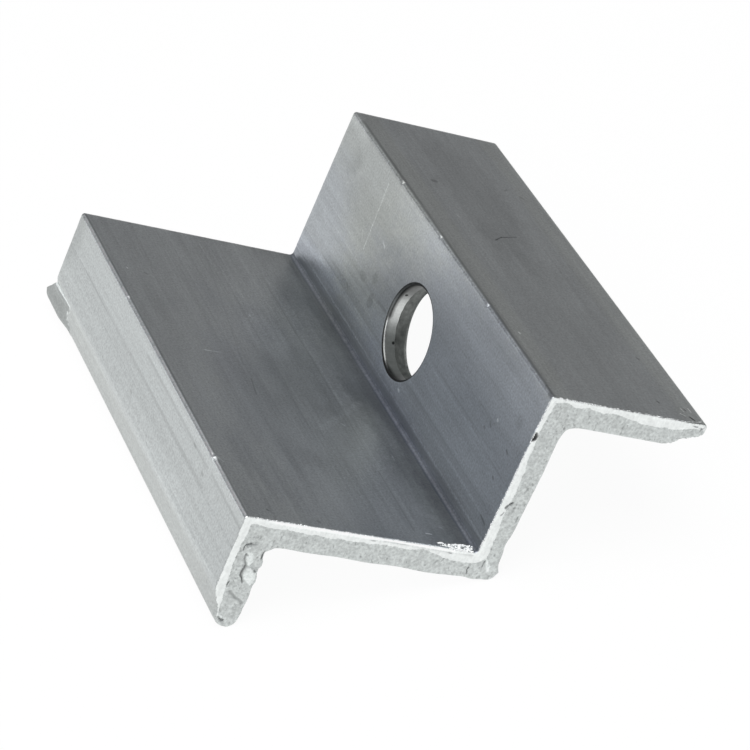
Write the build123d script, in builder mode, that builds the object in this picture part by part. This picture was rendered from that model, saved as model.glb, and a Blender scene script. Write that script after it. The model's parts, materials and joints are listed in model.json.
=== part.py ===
"""Solar end clamp: one piece of bright aluminium extrusion, sawn to length and punched for its bolt.

The section is a chain of four square legs. The lip reaches over the edge of the module frame,
the web stands beside the frame, the bolt flange takes the bolt and its washer, and the leg
stands on the rail. The clamp is modelled as it lies when it is put down, on the round of the
lip's nose and on the heel where the web meets the flange: +Z is up, +Y runs along the
extrusion away from the front sawn end, and +X runs from the lip towards the leg. The origin is
on the surface it lies on, below the middle of its bounding box.

Section coordinates are used for every sketch: x runs along the web from the lip's outer face,
and y runs up the flange from the web's outer face. All lengths are millimetres.
"""

import os
from math import asin, atan2, cos, degrees, hypot, isclose, pi, radians, sin, tan

from build123d import *

# Sawn length and section
length = 50.0  # from sawn end to sawn end
wall = 2.5  # thickness of the web, the bolt flange and the leg
lip_thickness = 3.1
lip_reach = 10.8  # down the lip's outer face, from the web's outer face to the end of the nose
lip_lean = 0.5  # degrees that the lip leans in towards the module frame
seat_depth = 22.0  # lip's outer face to the washer seat
flange_width = 15.8  # web's outer face to the leg's outer face
grip_height = 34.5  # lip's inner corner to the leg's foot, a little under a 35 mm module frame

# Nose of the lip
bevel_height = 3.8  # how far up the lip the bevel starts
bevel_setback = 1.35  # how far the bevel has come in at the end of the nose
nose_radius = 1.3
grip_edge_radius = 0.7
bevel_start_radius = 1.0
nose_round_share = 0.56  # most of the nose's end that its outer round may take
grip_edge_share = 0.43  # most of the nose's end that its inner round may take

# Corners that run along the extrusion
outer_edge_radius = 0.3  # lip to web, and flange to leg
frame_corner_radius = 0.8  # inside corner of lip and web
heel_radius = 0.5  # web to flange, the edge it lies on
seat_corner_radius = 0.3  # inside corner beside the washer seat
leg_corner_radius = 0.5  # inside corner of flange and leg
foot_edge_radius = 0.25

# Punched bolt hole
bolt_bore = 8.5
punch_rollover = 0.25  # rounded rim on the washer seat, where the punch went in
punch_breakout = 0.1  # narrow rim where it came out

# Remnant at the rear of the nose, which the saw left and which was snapped off
remnant_top = 7.7  # web's outer face to its upper edge
remnant_ledge = 0.15  # how far it stands out from the bevel, at its upper edge
remnant_setback = 0.81  # how far it has come in from the lip's outer face at the end of the nose
remnant_root = 4.9  # how far it runs forward over the nose from the sawn end
remnant_shoulder = 0.1  # how far it stands out beyond the sawn end, at its upper edge
remnant_reach = 2.4  # the same at its furthest point
remnant_point = 9.5  # web's outer face to that point

# Corner broken out of the leg's foot at the front sawn end
break_width = 2.4
break_height = 1.1
break_lean = 0.45  # how far its inner side leans over in that height
break_rise = 0.5  # how much higher the break is at the foot's end
break_depth = 3.0  # how far it runs in along the extrusion
break_run_out = 0.2  # what is left of its width and height at that depth

lean = radians(lip_lean)
grip_corner = (lip_thickness + wall * sin(lean)) / cos(lean)
foot = grip_corner + grip_height
heel = seat_depth + wall
leg_inner_face = flange_width - wall
bolt_height = leg_inner_face / 2


def on_lip(down: float, across: float) -> tuple[float, float]:
    """Return the section point that lies down the lip's outer face and across its thickness."""
    return (down * sin(lean) + across * cos(lean), across * sin(lean) - down * cos(lean))


# Rounds of the nose, which share the flat end of the lip between them
nose_width = lip_thickness - bevel_setback
nose_tangent = tan((pi / 2 - atan2(bevel_setback, bevel_height)) / 2)
nose_round = min(nose_radius, nose_round_share * nose_width / nose_tangent)
grip_edge_round = min(grip_edge_radius, grip_edge_share * nose_width)

# Outline of the section, counter-clockwise from the lip's outer corner, with each corner's radius
outline = [
    ((0, 0), outer_edge_radius),
    (on_lip(lip_reach - bevel_height, 0), bevel_start_radius),
    (on_lip(lip_reach, bevel_setback), nose_round),
    (on_lip(lip_reach, lip_thickness), grip_edge_round),
    ((grip_corner, -wall), frame_corner_radius),
    ((heel, -wall), heel_radius),
    ((heel, leg_inner_face), leg_corner_radius),
    ((foot, leg_inner_face), foot_edge_radius),
    ((foot, flange_width), foot_edge_radius),
    ((seat_depth, flange_width), outer_edge_radius),
    ((seat_depth, 0), seat_corner_radius),
]

with BuildSketch() as section:
    with BuildLine():
        FilletPolyline(
            *(corner for corner, radius in outline),
            radius=[radius for corner, radius in outline],
            close=True,
        )
    make_face()

# The remnant is as thick as the lip and less bevelled than the nose
bevel_run = remnant_top + bevel_height - lip_reach
remnant_across = bevel_setback * bevel_run / bevel_height - remnant_ledge

with BuildSketch() as remnant_section:
    with BuildLine():
        FilletPolyline(
            on_lip(remnant_top, remnant_across),
            on_lip(lip_reach, remnant_setback),
            on_lip(lip_reach, lip_thickness),
            on_lip(remnant_top, lip_thickness),
            radius=[0, nose_round, grip_edge_round, 0],
            close=True,
        )
    make_face()

# The line that touches the nose's round and the heel's round from below is level at rest
nose_centre = on_lip(lip_reach - nose_round, bevel_setback + nose_round * nose_tangent)
heel_centre = (heel - heel_radius, heel_radius - wall)
span = (heel_centre[0] - nose_centre[0], heel_centre[1] - nose_centre[1])
rest_tilt = atan2(span[1], span[0]) + asin((nose_round - heel_radius) / hypot(*span))

resting_section = Rotation(0, 0, -degrees(rest_tilt)) * (section.sketch + remnant_section.sketch)
footprint = resting_section.bounding_box()
front_end = -(length + remnant_reach) / 2

front_plane = Plane(
    origin=(-footprint.center().X, front_end, -footprint.min.Y),
    x_dir=(cos(rest_tilt), 0, -sin(rest_tilt)),
    z_dir=(0, -1, 0),
)
rear_plane = front_plane.offset(-length)
side_plane = Plane(origin=rear_plane.origin, x_dir=(0, 1, 0), z_dir=front_plane.x_dir)
bolt_plane = Plane(
    origin=front_plane.from_local_coords((seat_depth, bolt_height, -length / 2)),
    x_dir=(0, 1, 0),
    z_dir=-front_plane.x_dir,
)

# The remnant's end slopes from the shoulder to the point
with BuildPart() as remnant:
    with BuildSketch(rear_plane.offset(remnant_root)):
        add(remnant_section.sketch)
    extrude(amount=-remnant_root - remnant_reach)
    with BuildSketch(side_plane):
        with BuildLine():
            Polyline(
                (-remnant_root, 0),
                (0, 0),
                (remnant_shoulder, -remnant_top),
                (remnant_reach, -remnant_point),
                (remnant_reach, -lip_reach),
                (-remnant_root, -lip_reach),
                close=True,
            )
        make_face()
    extrude(amount=heel, mode=Mode.INTERSECT)

# The break is a wedge that runs out along the foot's inner edge
with BuildPart() as foot_break:
    for depth, share in ((0, 1), (break_depth, break_run_out)):
        width = break_width * share
        height = break_height * share
        lean_run = break_lean * share
        rise = break_rise * share
        with BuildSketch(front_plane.offset(-depth)):
            with BuildLine():
                Polyline(
                    (foot - width, leg_inner_face),
                    (foot - width + lean_run, leg_inner_face + height),
                    (foot, leg_inner_face + height + rise),
                    (foot + wall, leg_inner_face + height + rise),
                    (foot + wall, leg_inner_face - wall),
                    (foot - width, leg_inner_face - wall),
                    close=True,
                )
            make_face()
    loft()

with BuildPart() as end_clamp:
    with BuildSketch(front_plane):
        add(section.sketch)
    extrude(amount=-length)

    with Locations(bolt_plane):
        Hole(bolt_bore / 2)
    bolt_axis = Axis(bolt_plane.origin, front_plane.x_dir)
    rims = end_clamp.edges().filter_by(GeomType.CIRCLE)
    rims = rims.filter_by(lambda edge: isclose(edge.radius, bolt_bore / 2)).sort_by(bolt_axis)
    fillet(rims[0], punch_rollover)
    fillet(rims[-1], punch_breakout)

    add(remnant.part)
    add(foot_break.part, mode=Mode.SUBTRACT)

end_clamp.part.label = "end_clamp"
os.makedirs("parts", exist_ok=True)
export_step(end_clamp.part, "parts/end_clamp.step")
print(f"rest tilt {degrees(rest_tilt):.2f} degrees, volume {end_clamp.part.volume:.1f} mm3")
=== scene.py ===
"""Solar end clamp: the look of its mill-finish extrusion, its sawn ends and its punched hole.

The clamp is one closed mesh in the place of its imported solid, with the marks of the die, the saw and the punch. Sizes
are millimetres in section coordinates: u runs along the web from the lip's outer face, v runs up the flange from the
web's outer face, and y runs along the extrusion from the front sawn end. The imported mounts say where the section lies.
"""

import sys

import json
import logging
import math
from collections.abc import Callable
from dataclasses import dataclass, field
from enum import IntEnum
from functools import cached_property

import bmesh
import bpy
import numpy as np
from mathutils import Matrix, Vector
from mathutils.geometry import delaunay_2d_cdt


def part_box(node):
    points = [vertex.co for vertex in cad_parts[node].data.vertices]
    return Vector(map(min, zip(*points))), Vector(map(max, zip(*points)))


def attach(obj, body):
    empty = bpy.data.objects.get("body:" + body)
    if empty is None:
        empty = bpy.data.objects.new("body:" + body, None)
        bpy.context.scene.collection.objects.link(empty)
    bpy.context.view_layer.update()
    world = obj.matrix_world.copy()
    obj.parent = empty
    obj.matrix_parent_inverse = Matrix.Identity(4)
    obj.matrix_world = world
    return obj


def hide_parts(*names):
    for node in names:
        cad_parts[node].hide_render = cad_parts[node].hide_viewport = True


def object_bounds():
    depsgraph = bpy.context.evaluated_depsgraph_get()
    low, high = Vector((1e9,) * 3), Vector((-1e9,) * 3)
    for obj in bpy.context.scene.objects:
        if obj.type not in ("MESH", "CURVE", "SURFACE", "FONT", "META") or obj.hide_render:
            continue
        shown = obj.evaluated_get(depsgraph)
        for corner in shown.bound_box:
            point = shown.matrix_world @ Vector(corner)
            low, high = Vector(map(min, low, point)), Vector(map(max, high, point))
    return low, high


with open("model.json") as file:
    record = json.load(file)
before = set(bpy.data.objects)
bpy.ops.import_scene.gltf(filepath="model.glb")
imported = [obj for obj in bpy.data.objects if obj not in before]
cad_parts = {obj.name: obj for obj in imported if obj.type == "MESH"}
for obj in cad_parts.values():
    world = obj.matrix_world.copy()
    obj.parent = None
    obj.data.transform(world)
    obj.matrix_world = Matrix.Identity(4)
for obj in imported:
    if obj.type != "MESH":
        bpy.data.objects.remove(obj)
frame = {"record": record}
CAD_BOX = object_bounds()
NODE = "end_clamp"
MM = 0.001
BOX_GAP = 1e-7  # metres that the look stays inside the CAD box
WELD = 1e-7  # millimetres at which two points of a filling become one
LATTICE = 97  # values along each side of a noise
OCTAVE_SHIFTS = (13.7, 7.3)  # how far each octave of a noise is moved
ROW_STEP = 0.866  # rows of a triangular lattice, as a share of its pitch
DENT_FALLOFF = 1.6
SWING = (0.35, 9.0, 1.7)  # size, length and phase of the waves in a die line's height
WANDER = (0.06, 14.0, 2.3)  # the same in its place
SHARP_ANGLE = 38  # degrees between faces at which an edge is drawn sharp
# Per-vertex values: the sawn band; painted highlights; painted shade in the front face's cracks and pits, which also
# marks the hole's torn zone; matte with painted shade.
VALUES = ("band", "bright", "dark", "dull")
Pair = tuple[float, float]
Window = tuple[int, int, int, int]
Point = tuple[float, float, float]
Array = np.ndarray
log = logging.getLogger("clamp")


class Face(IntEnum):
    """Flat faces of the section, in the order they are met going round its outline."""

    LIP = 0
    BEVEL = 1
    NOSE = 2
    GRIP = 3
    WEB_UNDER = 4
    FLANGE_BACK = 5
    LEG_UNDER = 6
    FOOT = 7
    LEG_TOP = 8
    SEAT = 9
    WEB_TOP = 10


class Finish(IntEnum):
    """Material slots of the clamp's mesh."""

    DRAWN = 0
    SAWN = 1
    PUNCHED = 2


ALONG_V = {Face.LIP, Face.BEVEL, Face.GRIP, Face.FLANGE_BACK, Face.FOOT, Face.SEAT}
SHOWN = {Face.LIP, Face.BEVEL, Face.NOSE, Face.SEAT, Face.WEB_TOP, Face.LEG_TOP}
LEVELS = {Face.LIP: 0.0, Face.LEG_TOP: 15.8, Face.SEAT: 22.0, Face.WEB_TOP: 0.0}


@dataclass(frozen=True)
class DieLine:
    """A line that the die left along one face.

    place is v on the upright faces and u on the others; height is above the face, or below it where negative.
    """

    face: Face
    place: float
    width: float
    height: float


@dataclass(frozen=True)
class Dent:
    """A local push into the surface, or a swelling where depth is negative, around a point of the section, with a
    painted highlight of the given strength.
    """

    u: float
    v: float
    y: float
    reach: float
    reach_y: float
    depth: float
    bright: float = 0.0


@dataclass(frozen=True)
class Crack:
    """A torn line on the front sawn face: its points (u, v), its width, its depth and how dark it is painted, which is
    painted shade in the crack.
    """

    points: tuple[Pair, ...]
    width: float
    depth: float
    dark: float


@dataclass(frozen=True)
class ScratchOrPaintedEdgeLight:
    """A fine line of tone between two section points (u, v, y), used for scratches, die lines and painted highlights
    and shade along edges; its tone is light above 0 and dark below.
    """

    start: Point
    end: Point
    width: float
    tone: float


@dataclass(frozen=True)
class StainOrPaintedLight:
    """A soft patch of tone round a section point (u, v, y), with its reach along each axis and its tone; used for
    stains and for painted light, shade and reflection tints.
    """

    centre: Point
    reach: Point
    tone: float


def laid(face: Face, off: float, place: float, y: float) -> Point:
    """Return (u, v, y) for a value off a flat face, one across it and one along the extrusion."""
    return (off, place, y) if face in ALONG_V else (place, off, y)


def scratches_and_painted_edge_light(face: Face, *rows: tuple[float, ...]) -> list[ScratchOrPaintedEdgeLight]:
    """Return a face's fine lines (scratches, die lines, painted edge highlights and shade); a row gives the place and y
    of both ends, the width and the tone.
    """
    level = LEVELS[face]
    return [ScratchOrPaintedEdgeLight(laid(face, level, *row[:2]), laid(face, level, *row[2:4]), *row[4:]) for row in rows]


def stains_and_painted_light(face: Face, *rows: tuple[float, ...]) -> list[StainOrPaintedLight]:
    """Lay a face's soft patches of tone: stains, painted light and shade, and painted reflection tints.

    Args:
        face: the face.
        rows: place and y, the reach across, along and off the face, and the tone.

    Returns:
        The patches.
    """
    level = LEVELS[face]
    return [StainOrPaintedLight(laid(face, level, a, y), laid(face, off, reach, reach_y), tone)
            for a, y, reach, reach_y, off, tone in rows]


DIE_LINES = tuple(DieLine(face, *row) for face, rows in (
    (Face.LIP, ((-1.9, 0.35, 0.005), (-3.12, 0.30, -0.010), (-4.45, 0.24, -0.007), (-5.6, 0.40, -0.005),
                (-6.35, 0.22, -0.007))),
    (Face.SEAT, ((0.95, 0.30, -0.014), (1.25, 0.18, 0.012), (1.95, 0.22, -0.008), (2.6, 0.26, 0.007),
                 (3.2, 0.2, -0.008), (3.9, 0.3, 0.006), (4.7, 0.24, -0.006), (7.3, 0.24, -0.005))),
    (Face.WEB_TOP, ((21.1, 0.3, -0.006), (16.8, 0.24, -0.005), (12.1, 0.2, -0.004), (8.3, 0.3, 0.004))),
) for row in rows)
# Dents and swellings of the drawn faces; a last value paints a highlight on the nicked edge.
DENTS = tuple(Dent(*row) for row in (
    (0.7, -9.3, 0.0, 1.1, 0.9, 0.26), (0.1, 0.0, 8.75, 0.30, 0.20, -0.10, 1.0), (0.0, 0.0, 9.3, 0.35, 0.25, 0.08),
    (22.0, 15.8, 36.4, 0.34, 0.22, 0.10, 1.0), (22.0, 15.8, 26.5, 0.30, 0.20, 0.10, 0.9),
    (22.0, 15.75, 14.85, 0.26, 0.18, 0.08, 0.9), (0.1, 0.0, 34.85, 0.22, 0.18, -0.06, 0.6),
    (21.95, 12.5, 0.0, 0.3, 0.3, -0.08, 0.9), (3.4, -2.7, 0.0, 0.5, 0.9, -0.17), (3.9, -2.5, 0.0, 0.7, 0.9, -0.09),
    (3.12, -4.35, 0.0, 0.65, 0.9, -0.27), (3.15, -5.9, 0.0, 0.9, 1.1, -0.27), (3.18, -7.6, 0.0, 1.3, 1.1, -0.27),
    (3.2, -9.3, 0.0, 1.2, 1.1, -0.22), (7.0, -2.5, 0.0, 3.0, 1.2, -0.13), (12.5, -2.5, 0.0, 3.0, 1.2, -0.16),
    (18.5, -2.5, 0.0, 3.0, 1.2, -0.20), (22.7, -2.5, 0.0, 0.8, 0.8, -0.16), (24.5, -1.6, 0.0, 0.6, 0.6, -0.42),
    (24.5, 1.2, 0.0, 1.0, 0.8, 0.20), (24.5, 8.5, 0.0, 3.0, 1.0, -0.08), (24.6, 13.2, 0.0, 1.0, 0.8, -0.30),
))
# Torn lines of the front face; their darkness is painted shade in the cracks.
CRACKS = tuple(Crack(*row) for row in (
    (((1.13, -3.2), (1.15, -2.89), (1.31, -2.71), (1.67, -2.56)), 0.16, 0.08, 0.62),
    (((1.25, -2.75), (1.6, -2.5), (2.1, -2.45)), 0.30, 0.05, 0.30),
    (((1.74, -3.66), (1.56, -3.57), (1.54, -3.8), (1.63, -4.14), (1.88, -4.51), (1.96, -4.75)), 0.15, 0.07, 0.50),
    (((1.96, -4.75), (1.88, -5.0), (1.85, -5.3), (1.86, -5.59), (2.08, -5.92), (2.3, -6.27)), 0.17, 0.10, 0.62),
    (((3.08, -3.1), (3.02, -3.4), (3.03, -3.75)), 0.20, 0.05, 0.75), (((2.9, -5.07), (3.02, -5.1)), 0.20, 0.10, 0.55),
    (((2.45, -4.5), (2.75, -4.75), (3.1, -4.85)), 0.30, 0.06, 0.28),
    (((1.53, -7.3), (2.09, -7.73), (2.6, -7.95), (3.06, -8.24)), 0.26, 0.06, 0.42),
    (((1.07, -6.81), (1.11, -6.39)), 0.11, 0.10, 0.7), (((1.3, -5.9), (1.5, -6.0), (1.75, -5.95)), 0.12, 0.04, 0.3),
    (((1.57, -9.94), (1.8, -10.16), (2.09, -10.17)), 0.18, 0.07, 0.5),
    (((21.94, -2.12), (21.85, -1.81), (21.88, -1.55)), 0.14, 0.10, 0.55),
    (((23.09, -1.34), (23.1, -0.92), (23.13, -0.65)), 0.13, 0.10, 0.5),
    (((18.6, -1.5), (18.7, -1.35)), 0.20, 0.04, 0.4),
    (((13.3, -1.6), (13.9, -1.55), (14.3, -1.7)), 0.16, 0.03, 0.3), (((16.5, -1.9), (16.7, -1.7)), 0.16, 0.03, 0.35),
    (((22.57, 4.71), (22.76, 5.05), (23.11, 5.27)), 0.14, 0.08, 0.75),
    (((22.47, 3.96), (22.66, 4.31)), 0.13, 0.06, 0.6),
    (((24.22, 3.53), (24.19, 4.05)), 0.11, 0.08, 0.5), (((23.4, 4.75), (23.5, 4.85)), 0.13, 0.06, 0.5),
    (((22.03, 11.65), (22.15, 11.8), (22.05, 12.0)), 0.40, 0.12, 2.2),
    (((22.22, 12.9), (22.22, 14.1), (22.3, 14.96), (22.6, 15.5)), 0.10, 0.03, 0.25),
    (((11.8, -0.38), (13.2, -0.30), (14.7, -0.29), (16.7, -0.33), (18.7, -0.35), (20.7, -0.33), (21.75, -0.29)),
     0.13, 0.05, 0.32),
    (((36.1, 15.55), (36.74, 15.5), (37.3, 15.42)), 0.09, 0.04, 0.35),
))
# Fine lines of tone. The full-length light lines on the lip's outer corner, along the seat's inner corner and on the
# leg's outer corner are painted highlights on the rounded edges; the seat rows at v 0.31, 0.70 and 1.28 are painted
# highlight, shade and highlight on its fillet; the full-length dark lines by the leg's edge and by both ends of the
# web's top are painted shade. The rest are scratches and die lines.
SCRATCHES_AND_PAINTED_EDGE_LIGHT = (
    ScratchOrPaintedEdgeLight((21.93, 0.08, 0.5), (21.93, 0.08, 49.5), 0.28, 0.10),
    ScratchOrPaintedEdgeLight((0.03, -0.14, 0.2), (0.03, -0.14, 49.5), 0.34, 0.45),
    ScratchOrPaintedEdgeLight((0.1, -0.08, 0.2), (0.1, -0.08, 49.5), 0.2, 0.35),
    ScratchOrPaintedEdgeLight((22.03, 15.64, 1.0), (22.03, 15.64, 49.5), 0.28, 0.42),
    ScratchOrPaintedEdgeLight((0.03, -7.3, 23.0), (0.03, -6.7, 1.0), 0.30, 0.05),
    *scratches_and_painted_edge_light(
        Face.SEAT, (0.31, 0.5, 0.31, 49.5, 0.14, 0.24), (0.70, 0.5, 0.72, 49.5, 0.6, -0.15),
        (1.28, 0.5, 1.26, 45.0, 0.20, 0.17), (2.72, 2.0, 2.70, 45.0, 0.26, 0.07), (3.4, 1.0, 3.3, 45.0, 0.40, -0.05),
        (3.95, 4.0, 3.92, 44.0, 0.20, 0.06), (5.25, 5.0, 5.28, 18.5, 0.20, 0.05), (5.68, 4.0, 5.70, 18.5, 0.26, -0.05),
        (5.68, 31.5, 5.70, 45.0, 0.28, -0.07), (6.3, 32.0, 6.28, 44.0, 0.20, 0.05), (6.8, 5.0, 6.78, 18.5, 0.20, 0.06),
        (3.52, 2.0, 3.50, 21.0, 0.18, -0.07), (7.28, 5.0, 7.2, 19.0, 0.20, -0.10), (6.5, 1.2, 7.0, 9.0, 0.16, -0.08),
        (3.83, 38.2, 3.58, 37.7, 0.22, -0.2), (14.3, 38.6, 7.71, 38.0, 0.18, 0.20),
        (5.79, 31.7, 5.82, 29.9, 0.30, -0.18),
        (2.55, 2.02, 2.34, 0.94, 0.22, -0.35), (0.76, 6.0, 1.2, 0.3, 0.12, 0.12), (10.07, 35.3, 9.84, 34.6, 0.22, 0.25),
        (9.75, 5.9, 9.65, 5.8, 0.20, 0.9), (2.25, 22.4, 2.2, 22.15, 0.24, 0.6), (8.1, 7.35, 8.05, 7.1, 0.2, -0.3),
        (8.9, 6.8, 8.7, 6.4, 0.2, -0.3), (8.7, 2.7, 8.55, 2.4, 0.2, -0.4), (5.9, 2.9, 5.8, 2.7, 0.2, -0.4),
        (8.9, 39.5, 8.0, 38.9, 0.16, 0.16)),
    *scratches_and_painted_edge_light(
        Face.LEG_TOP, (22.2, 1.8, 22.2, 0.3, 0.35, -0.35), (22.3, 2.0, 22.3, 48.0, 0.32, -0.17),
        (22.5, 2.0, 22.5, 48.0, 0.4, -0.06), (28.3, 28.05, 29.25, 28.88, 0.15, -0.4),
        (29.25, 28.88, 31.15, 29.6, 0.12, -0.5), (34.0, 39.2, 34.4, 39.6, 0.18, -0.25),
        (35.45, 38.6, 35.7, 38.2, 0.2, -0.25), (35.1, 10.2, 35.2, 9.9, 0.18, -0.3),
        (25.8, 31.6, 25.85, 31.4, 0.18, 0.35), (23.3, 10.65, 23.35, 10.45, 0.2, 0.7), (33.7, 2.8, 33.8, 2.6, 0.2, -0.4),
        (35.85, 2.3, 35.95, 1.8, 0.13, 0.8), (35.4, 1.35, 35.75, 1.1, 0.14, 0.8), (36.72, 2.5, 36.76, 1.95, 0.14, 1.0),
        (36.15, 2.3, 36.25, 2.05, 0.15, -0.5), (36.2, 1.0, 36.45, 0.6, 0.22, -0.7)),
    *scratches_and_painted_edge_light(
        Face.WEB_TOP, (21.7, 0.5, 21.7, 49.5, 0.3, -0.08), (0.26, 0.2, 0.26, 49.5, 0.22, -0.25),
        (11.56, 48.4, 11.61, 44.4, 0.14, 0.13), (1.63, 40.5, 1.66, 40.3, 0.16, 0.5),
        (12.53, 35.7, 12.55, 35.5, 0.16, 0.4), (3.35, 40.1, 3.5, 39.9, 0.2, -0.25),
        (5.1, 27.37, 6.85, 27.47, 0.13, 0.35), (8.59, 23.6, 8.17, 20.9, 0.14, -0.22),
        (11.6, 46.4, 8.6, 26.0, 0.14, -0.07), (16.68, 44.0, 16.74, 24.5, 0.20, -0.09),
        (16.74, 24.5, 16.68, 12.0, 0.18, -0.08), (16.66, 11.0, 16.64, 2.0, 0.18, -0.13),
        (17.06, 44.0, 17.04, 3.0, 0.18, 0.06), (13.62, 22.0, 13.60, 4.0, 0.18, -0.06),
        (13.02, 44.0, 13.04, 4.0, 0.20, 0.05), (12.44, 44.0, 12.46, 4.0, 0.16, 0.05),
        (13.22, 16.9, 19.2, 22.7, 0.7, 0.08), (15.65, 18.4, 15.95, 18.1, 0.18, 0.35),
        (19.2, 14.2, 19.17, 13.5, 0.14, 0.35), (17.74, 1.95, 18.28, 1.95, 0.14, 0.9),
        (19.6, 3.31, 19.8, 3.25, 0.12, 0.5), (2.5, 1.65, 2.6, 1.55, 0.22, -0.35), (7.1, 1.05, 7.15, 0.9, 0.3, -0.3),
        (0.12, 0.75, 0.14, 0.3, 0.12, 0.9), (0.3, 9.1, 0.75, 8.3, 0.14, 0.35)),
    *scratches_and_painted_edge_light(
        Face.LIP, (-3.2, 46.6, -3.25, 37.5, 0.14, -0.14), (-3.14, 44.0, -3.1, 30.0, 0.34, -0.09),
        (-3.1, 30.0, -3.0, 8.6, 0.32, -0.14), (-1.28, 26.8, -1.28, 9.0, 0.28, -0.14),
        (-1.2, 7.9, -1.25, 0.1, 0.26, -0.15), (-7.0, 23.0, -6.65, 6.3, 0.24, -0.05),
        (-5.24, 27.3, -5.24, 27.0, 0.3, -0.2), (-2.19, 9.6, -2.19, 9.3, 0.3, -0.25),
        (-1.35, 12.8, -1.35, 12.3, 0.25, -0.2), (-1.6, 5.4, -2.1, 5.3, 0.16, -0.12)),
)
# Soft patches of tone. The small dark spots are stains; the broad patches are painted light and shade: the lip's face
# lit lighter with a lighter strip by its edge, the whole top of the leg shaded darker, strips of the web's top and of
# the seat shaded darker in their inner corner, and lighter and darker clouds across the seat and the web.
STAINS_AND_PAINTED_LIGHT = (
    StainOrPaintedLight((0.8, -8.9, 20.0), (1.2, 1.7, 40.0), -0.04),
    *stains_and_painted_light(
        Face.SEAT, (5.0, 33.1, 0.8, 0.7, 0.5, -0.20), (6.9, 33.9, 0.7, 0.6, 0.5, -0.14),
        (5.9, 36.1, 0.5, 0.9, 0.5, -0.14), (11.4, 2.75, 0.8, 0.7, 0.5, -0.12), (15.2, 30.5, 2.2, 7.0, 0.5, 0.07),
        (11.0, 42.0, 8.5, 17.0, 0.6, -0.10), (14.8, 49.5, 4.0, 5.0, 0.5, 0.18), (10.5, 24.0, 3.0, 12.0, 0.6, -0.10),
        (13.0, 2.0, 3.0, 6.0, 0.4, 0.10), (0.9, 37.0, 1.2, 24.0, 0.4, -0.16), (8.0, 8.0, 6.0, 16.0, 0.6, 0.10),
        (4.2, 34.0, 2.2, 9.0, 0.5, 0.13), (2.5, 42.0, 1.3, 4.0, 0.5, 0.14), (10.3, 39.0, 2.8, 8.0, 0.5, -0.10),
        (13.0, 48.0, 2.2, 4.0, 0.5, -0.18), (3.6, 48.5, 3.0, 3.5, 0.5, -0.08), (15.2, 12.0, 1.8, 13.0, 0.5, -0.08)),
    *stains_and_painted_light(
        Face.LIP, (-5.0, 25.0, 11.0, 60.0, 0.5, 0.08), (-0.6, 22.0, 0.7, 42.0, 0.3, 0.06),
        (-4.9, 25.0, 1.4, 14.0, 0.3, -0.04), (-2.0, 50.5, 4.0, 3.5, 0.4, -0.14), (-6.1, 19.0, 1.3, 12.0, 0.4, 0.07)),
    *stains_and_painted_light(
        Face.WEB_TOP, (17.3, 13.0, 3.4, 15.0, 0.4, -0.07), (22.6, 25.0, 5.4, 90.0, 0.5, -0.18),
        (22.4, 25.0, 2.4, 90.0, 0.5, -0.14), (22.2, 4.0, 3.0, 9.0, 0.5, -0.08), (4.5, 8.0, 8.0, 16.0, 0.4, 0.11),
        (15.8, 29.0, 1.6, 2.6, 0.3, -0.06), (10.0, 11.3, 1.8, 1.8, 0.3, -0.06), (14.8, 20.0, 1.4, 1.6, 0.3, -0.06),
        (20.3, 20.0, 1.9, 24.0, 0.4, -0.10), (13.0, 32.0, 2.4, 4.5, 0.4, 0.12), (11.5, 16.0, 3.4, 4.5, 0.4, 0.10),
        (15.0, 50.2, 8.0, 1.2, 0.4, -0.07)),
    *stains_and_painted_light(
        Face.LEG_TOP, (30.0, 25.0, 16.0, 60.0, 0.4, -0.06), (36.9, 18.0, 1.6, 40.0, 0.4, 0.08),
        (30.0, 35.0, 4.0, 13.0, 0.4, -0.10), (29.0, 12.0, 5.0, 20.0, 0.4, -0.06),
        (25.94, 38.05, 0.42, 0.36, 0.3, -0.30)),
)
# Painted reflection: a cool blue tint where the faces mirror the dark, bluish room, taken back on the top of the leg.
PAINTED_COOL_REFLECTION = (
    StainOrPaintedLight((15.0, 0.2, 14.0), (15.0, 0.5, 32.0), 0.35),
    *stains_and_painted_light(Face.SEAT, (5.0, 8.0, 15.0, 32.0, 0.5, 0.95), (2.0, 49.0, 11.0, 10.0, 0.5, 0.6),
             (0.5, 38.0, 2.8, 26.0, 0.5, 0.45), (9.5, 33.0, 6.5, 10.0, 0.5, -0.2)),
    *stains_and_painted_light(Face.LIP, (-3.5, 20.0, 9.0, 40.0, 0.4, 0.15)),
    *stains_and_painted_light(Face.LEG_TOP, (23.2, 28.0, 1.8, 40.0, 0.4, -0.3), (36.8, 25.0, 2.0, 60.0, 0.4, -0.25)),
)
RIM_PATHS = (((37.2, 15.75, 0.55), (35.6, 15.76, 0.12), (22.7, 15.76, 0.08)), ((22.03, 15.2, 0.08), (22.03, 0.5, 0.08)),
             ((21.6, -0.03, 0.08), (0.4, -0.03, 0.08)))
WEB_FLAKES = (((18.4, 0.0, 0.66), (19.3, 0.0, 0.56), (20.9, 0.0, 0.92), (21.9, 0.0, 0.84)),
              ((18.5, 0.0, 0.3), (21.6, 0.0, 0.45)), ((19.2, 0.0, 0.08), (21.5, 0.0, 0.12)))
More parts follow.
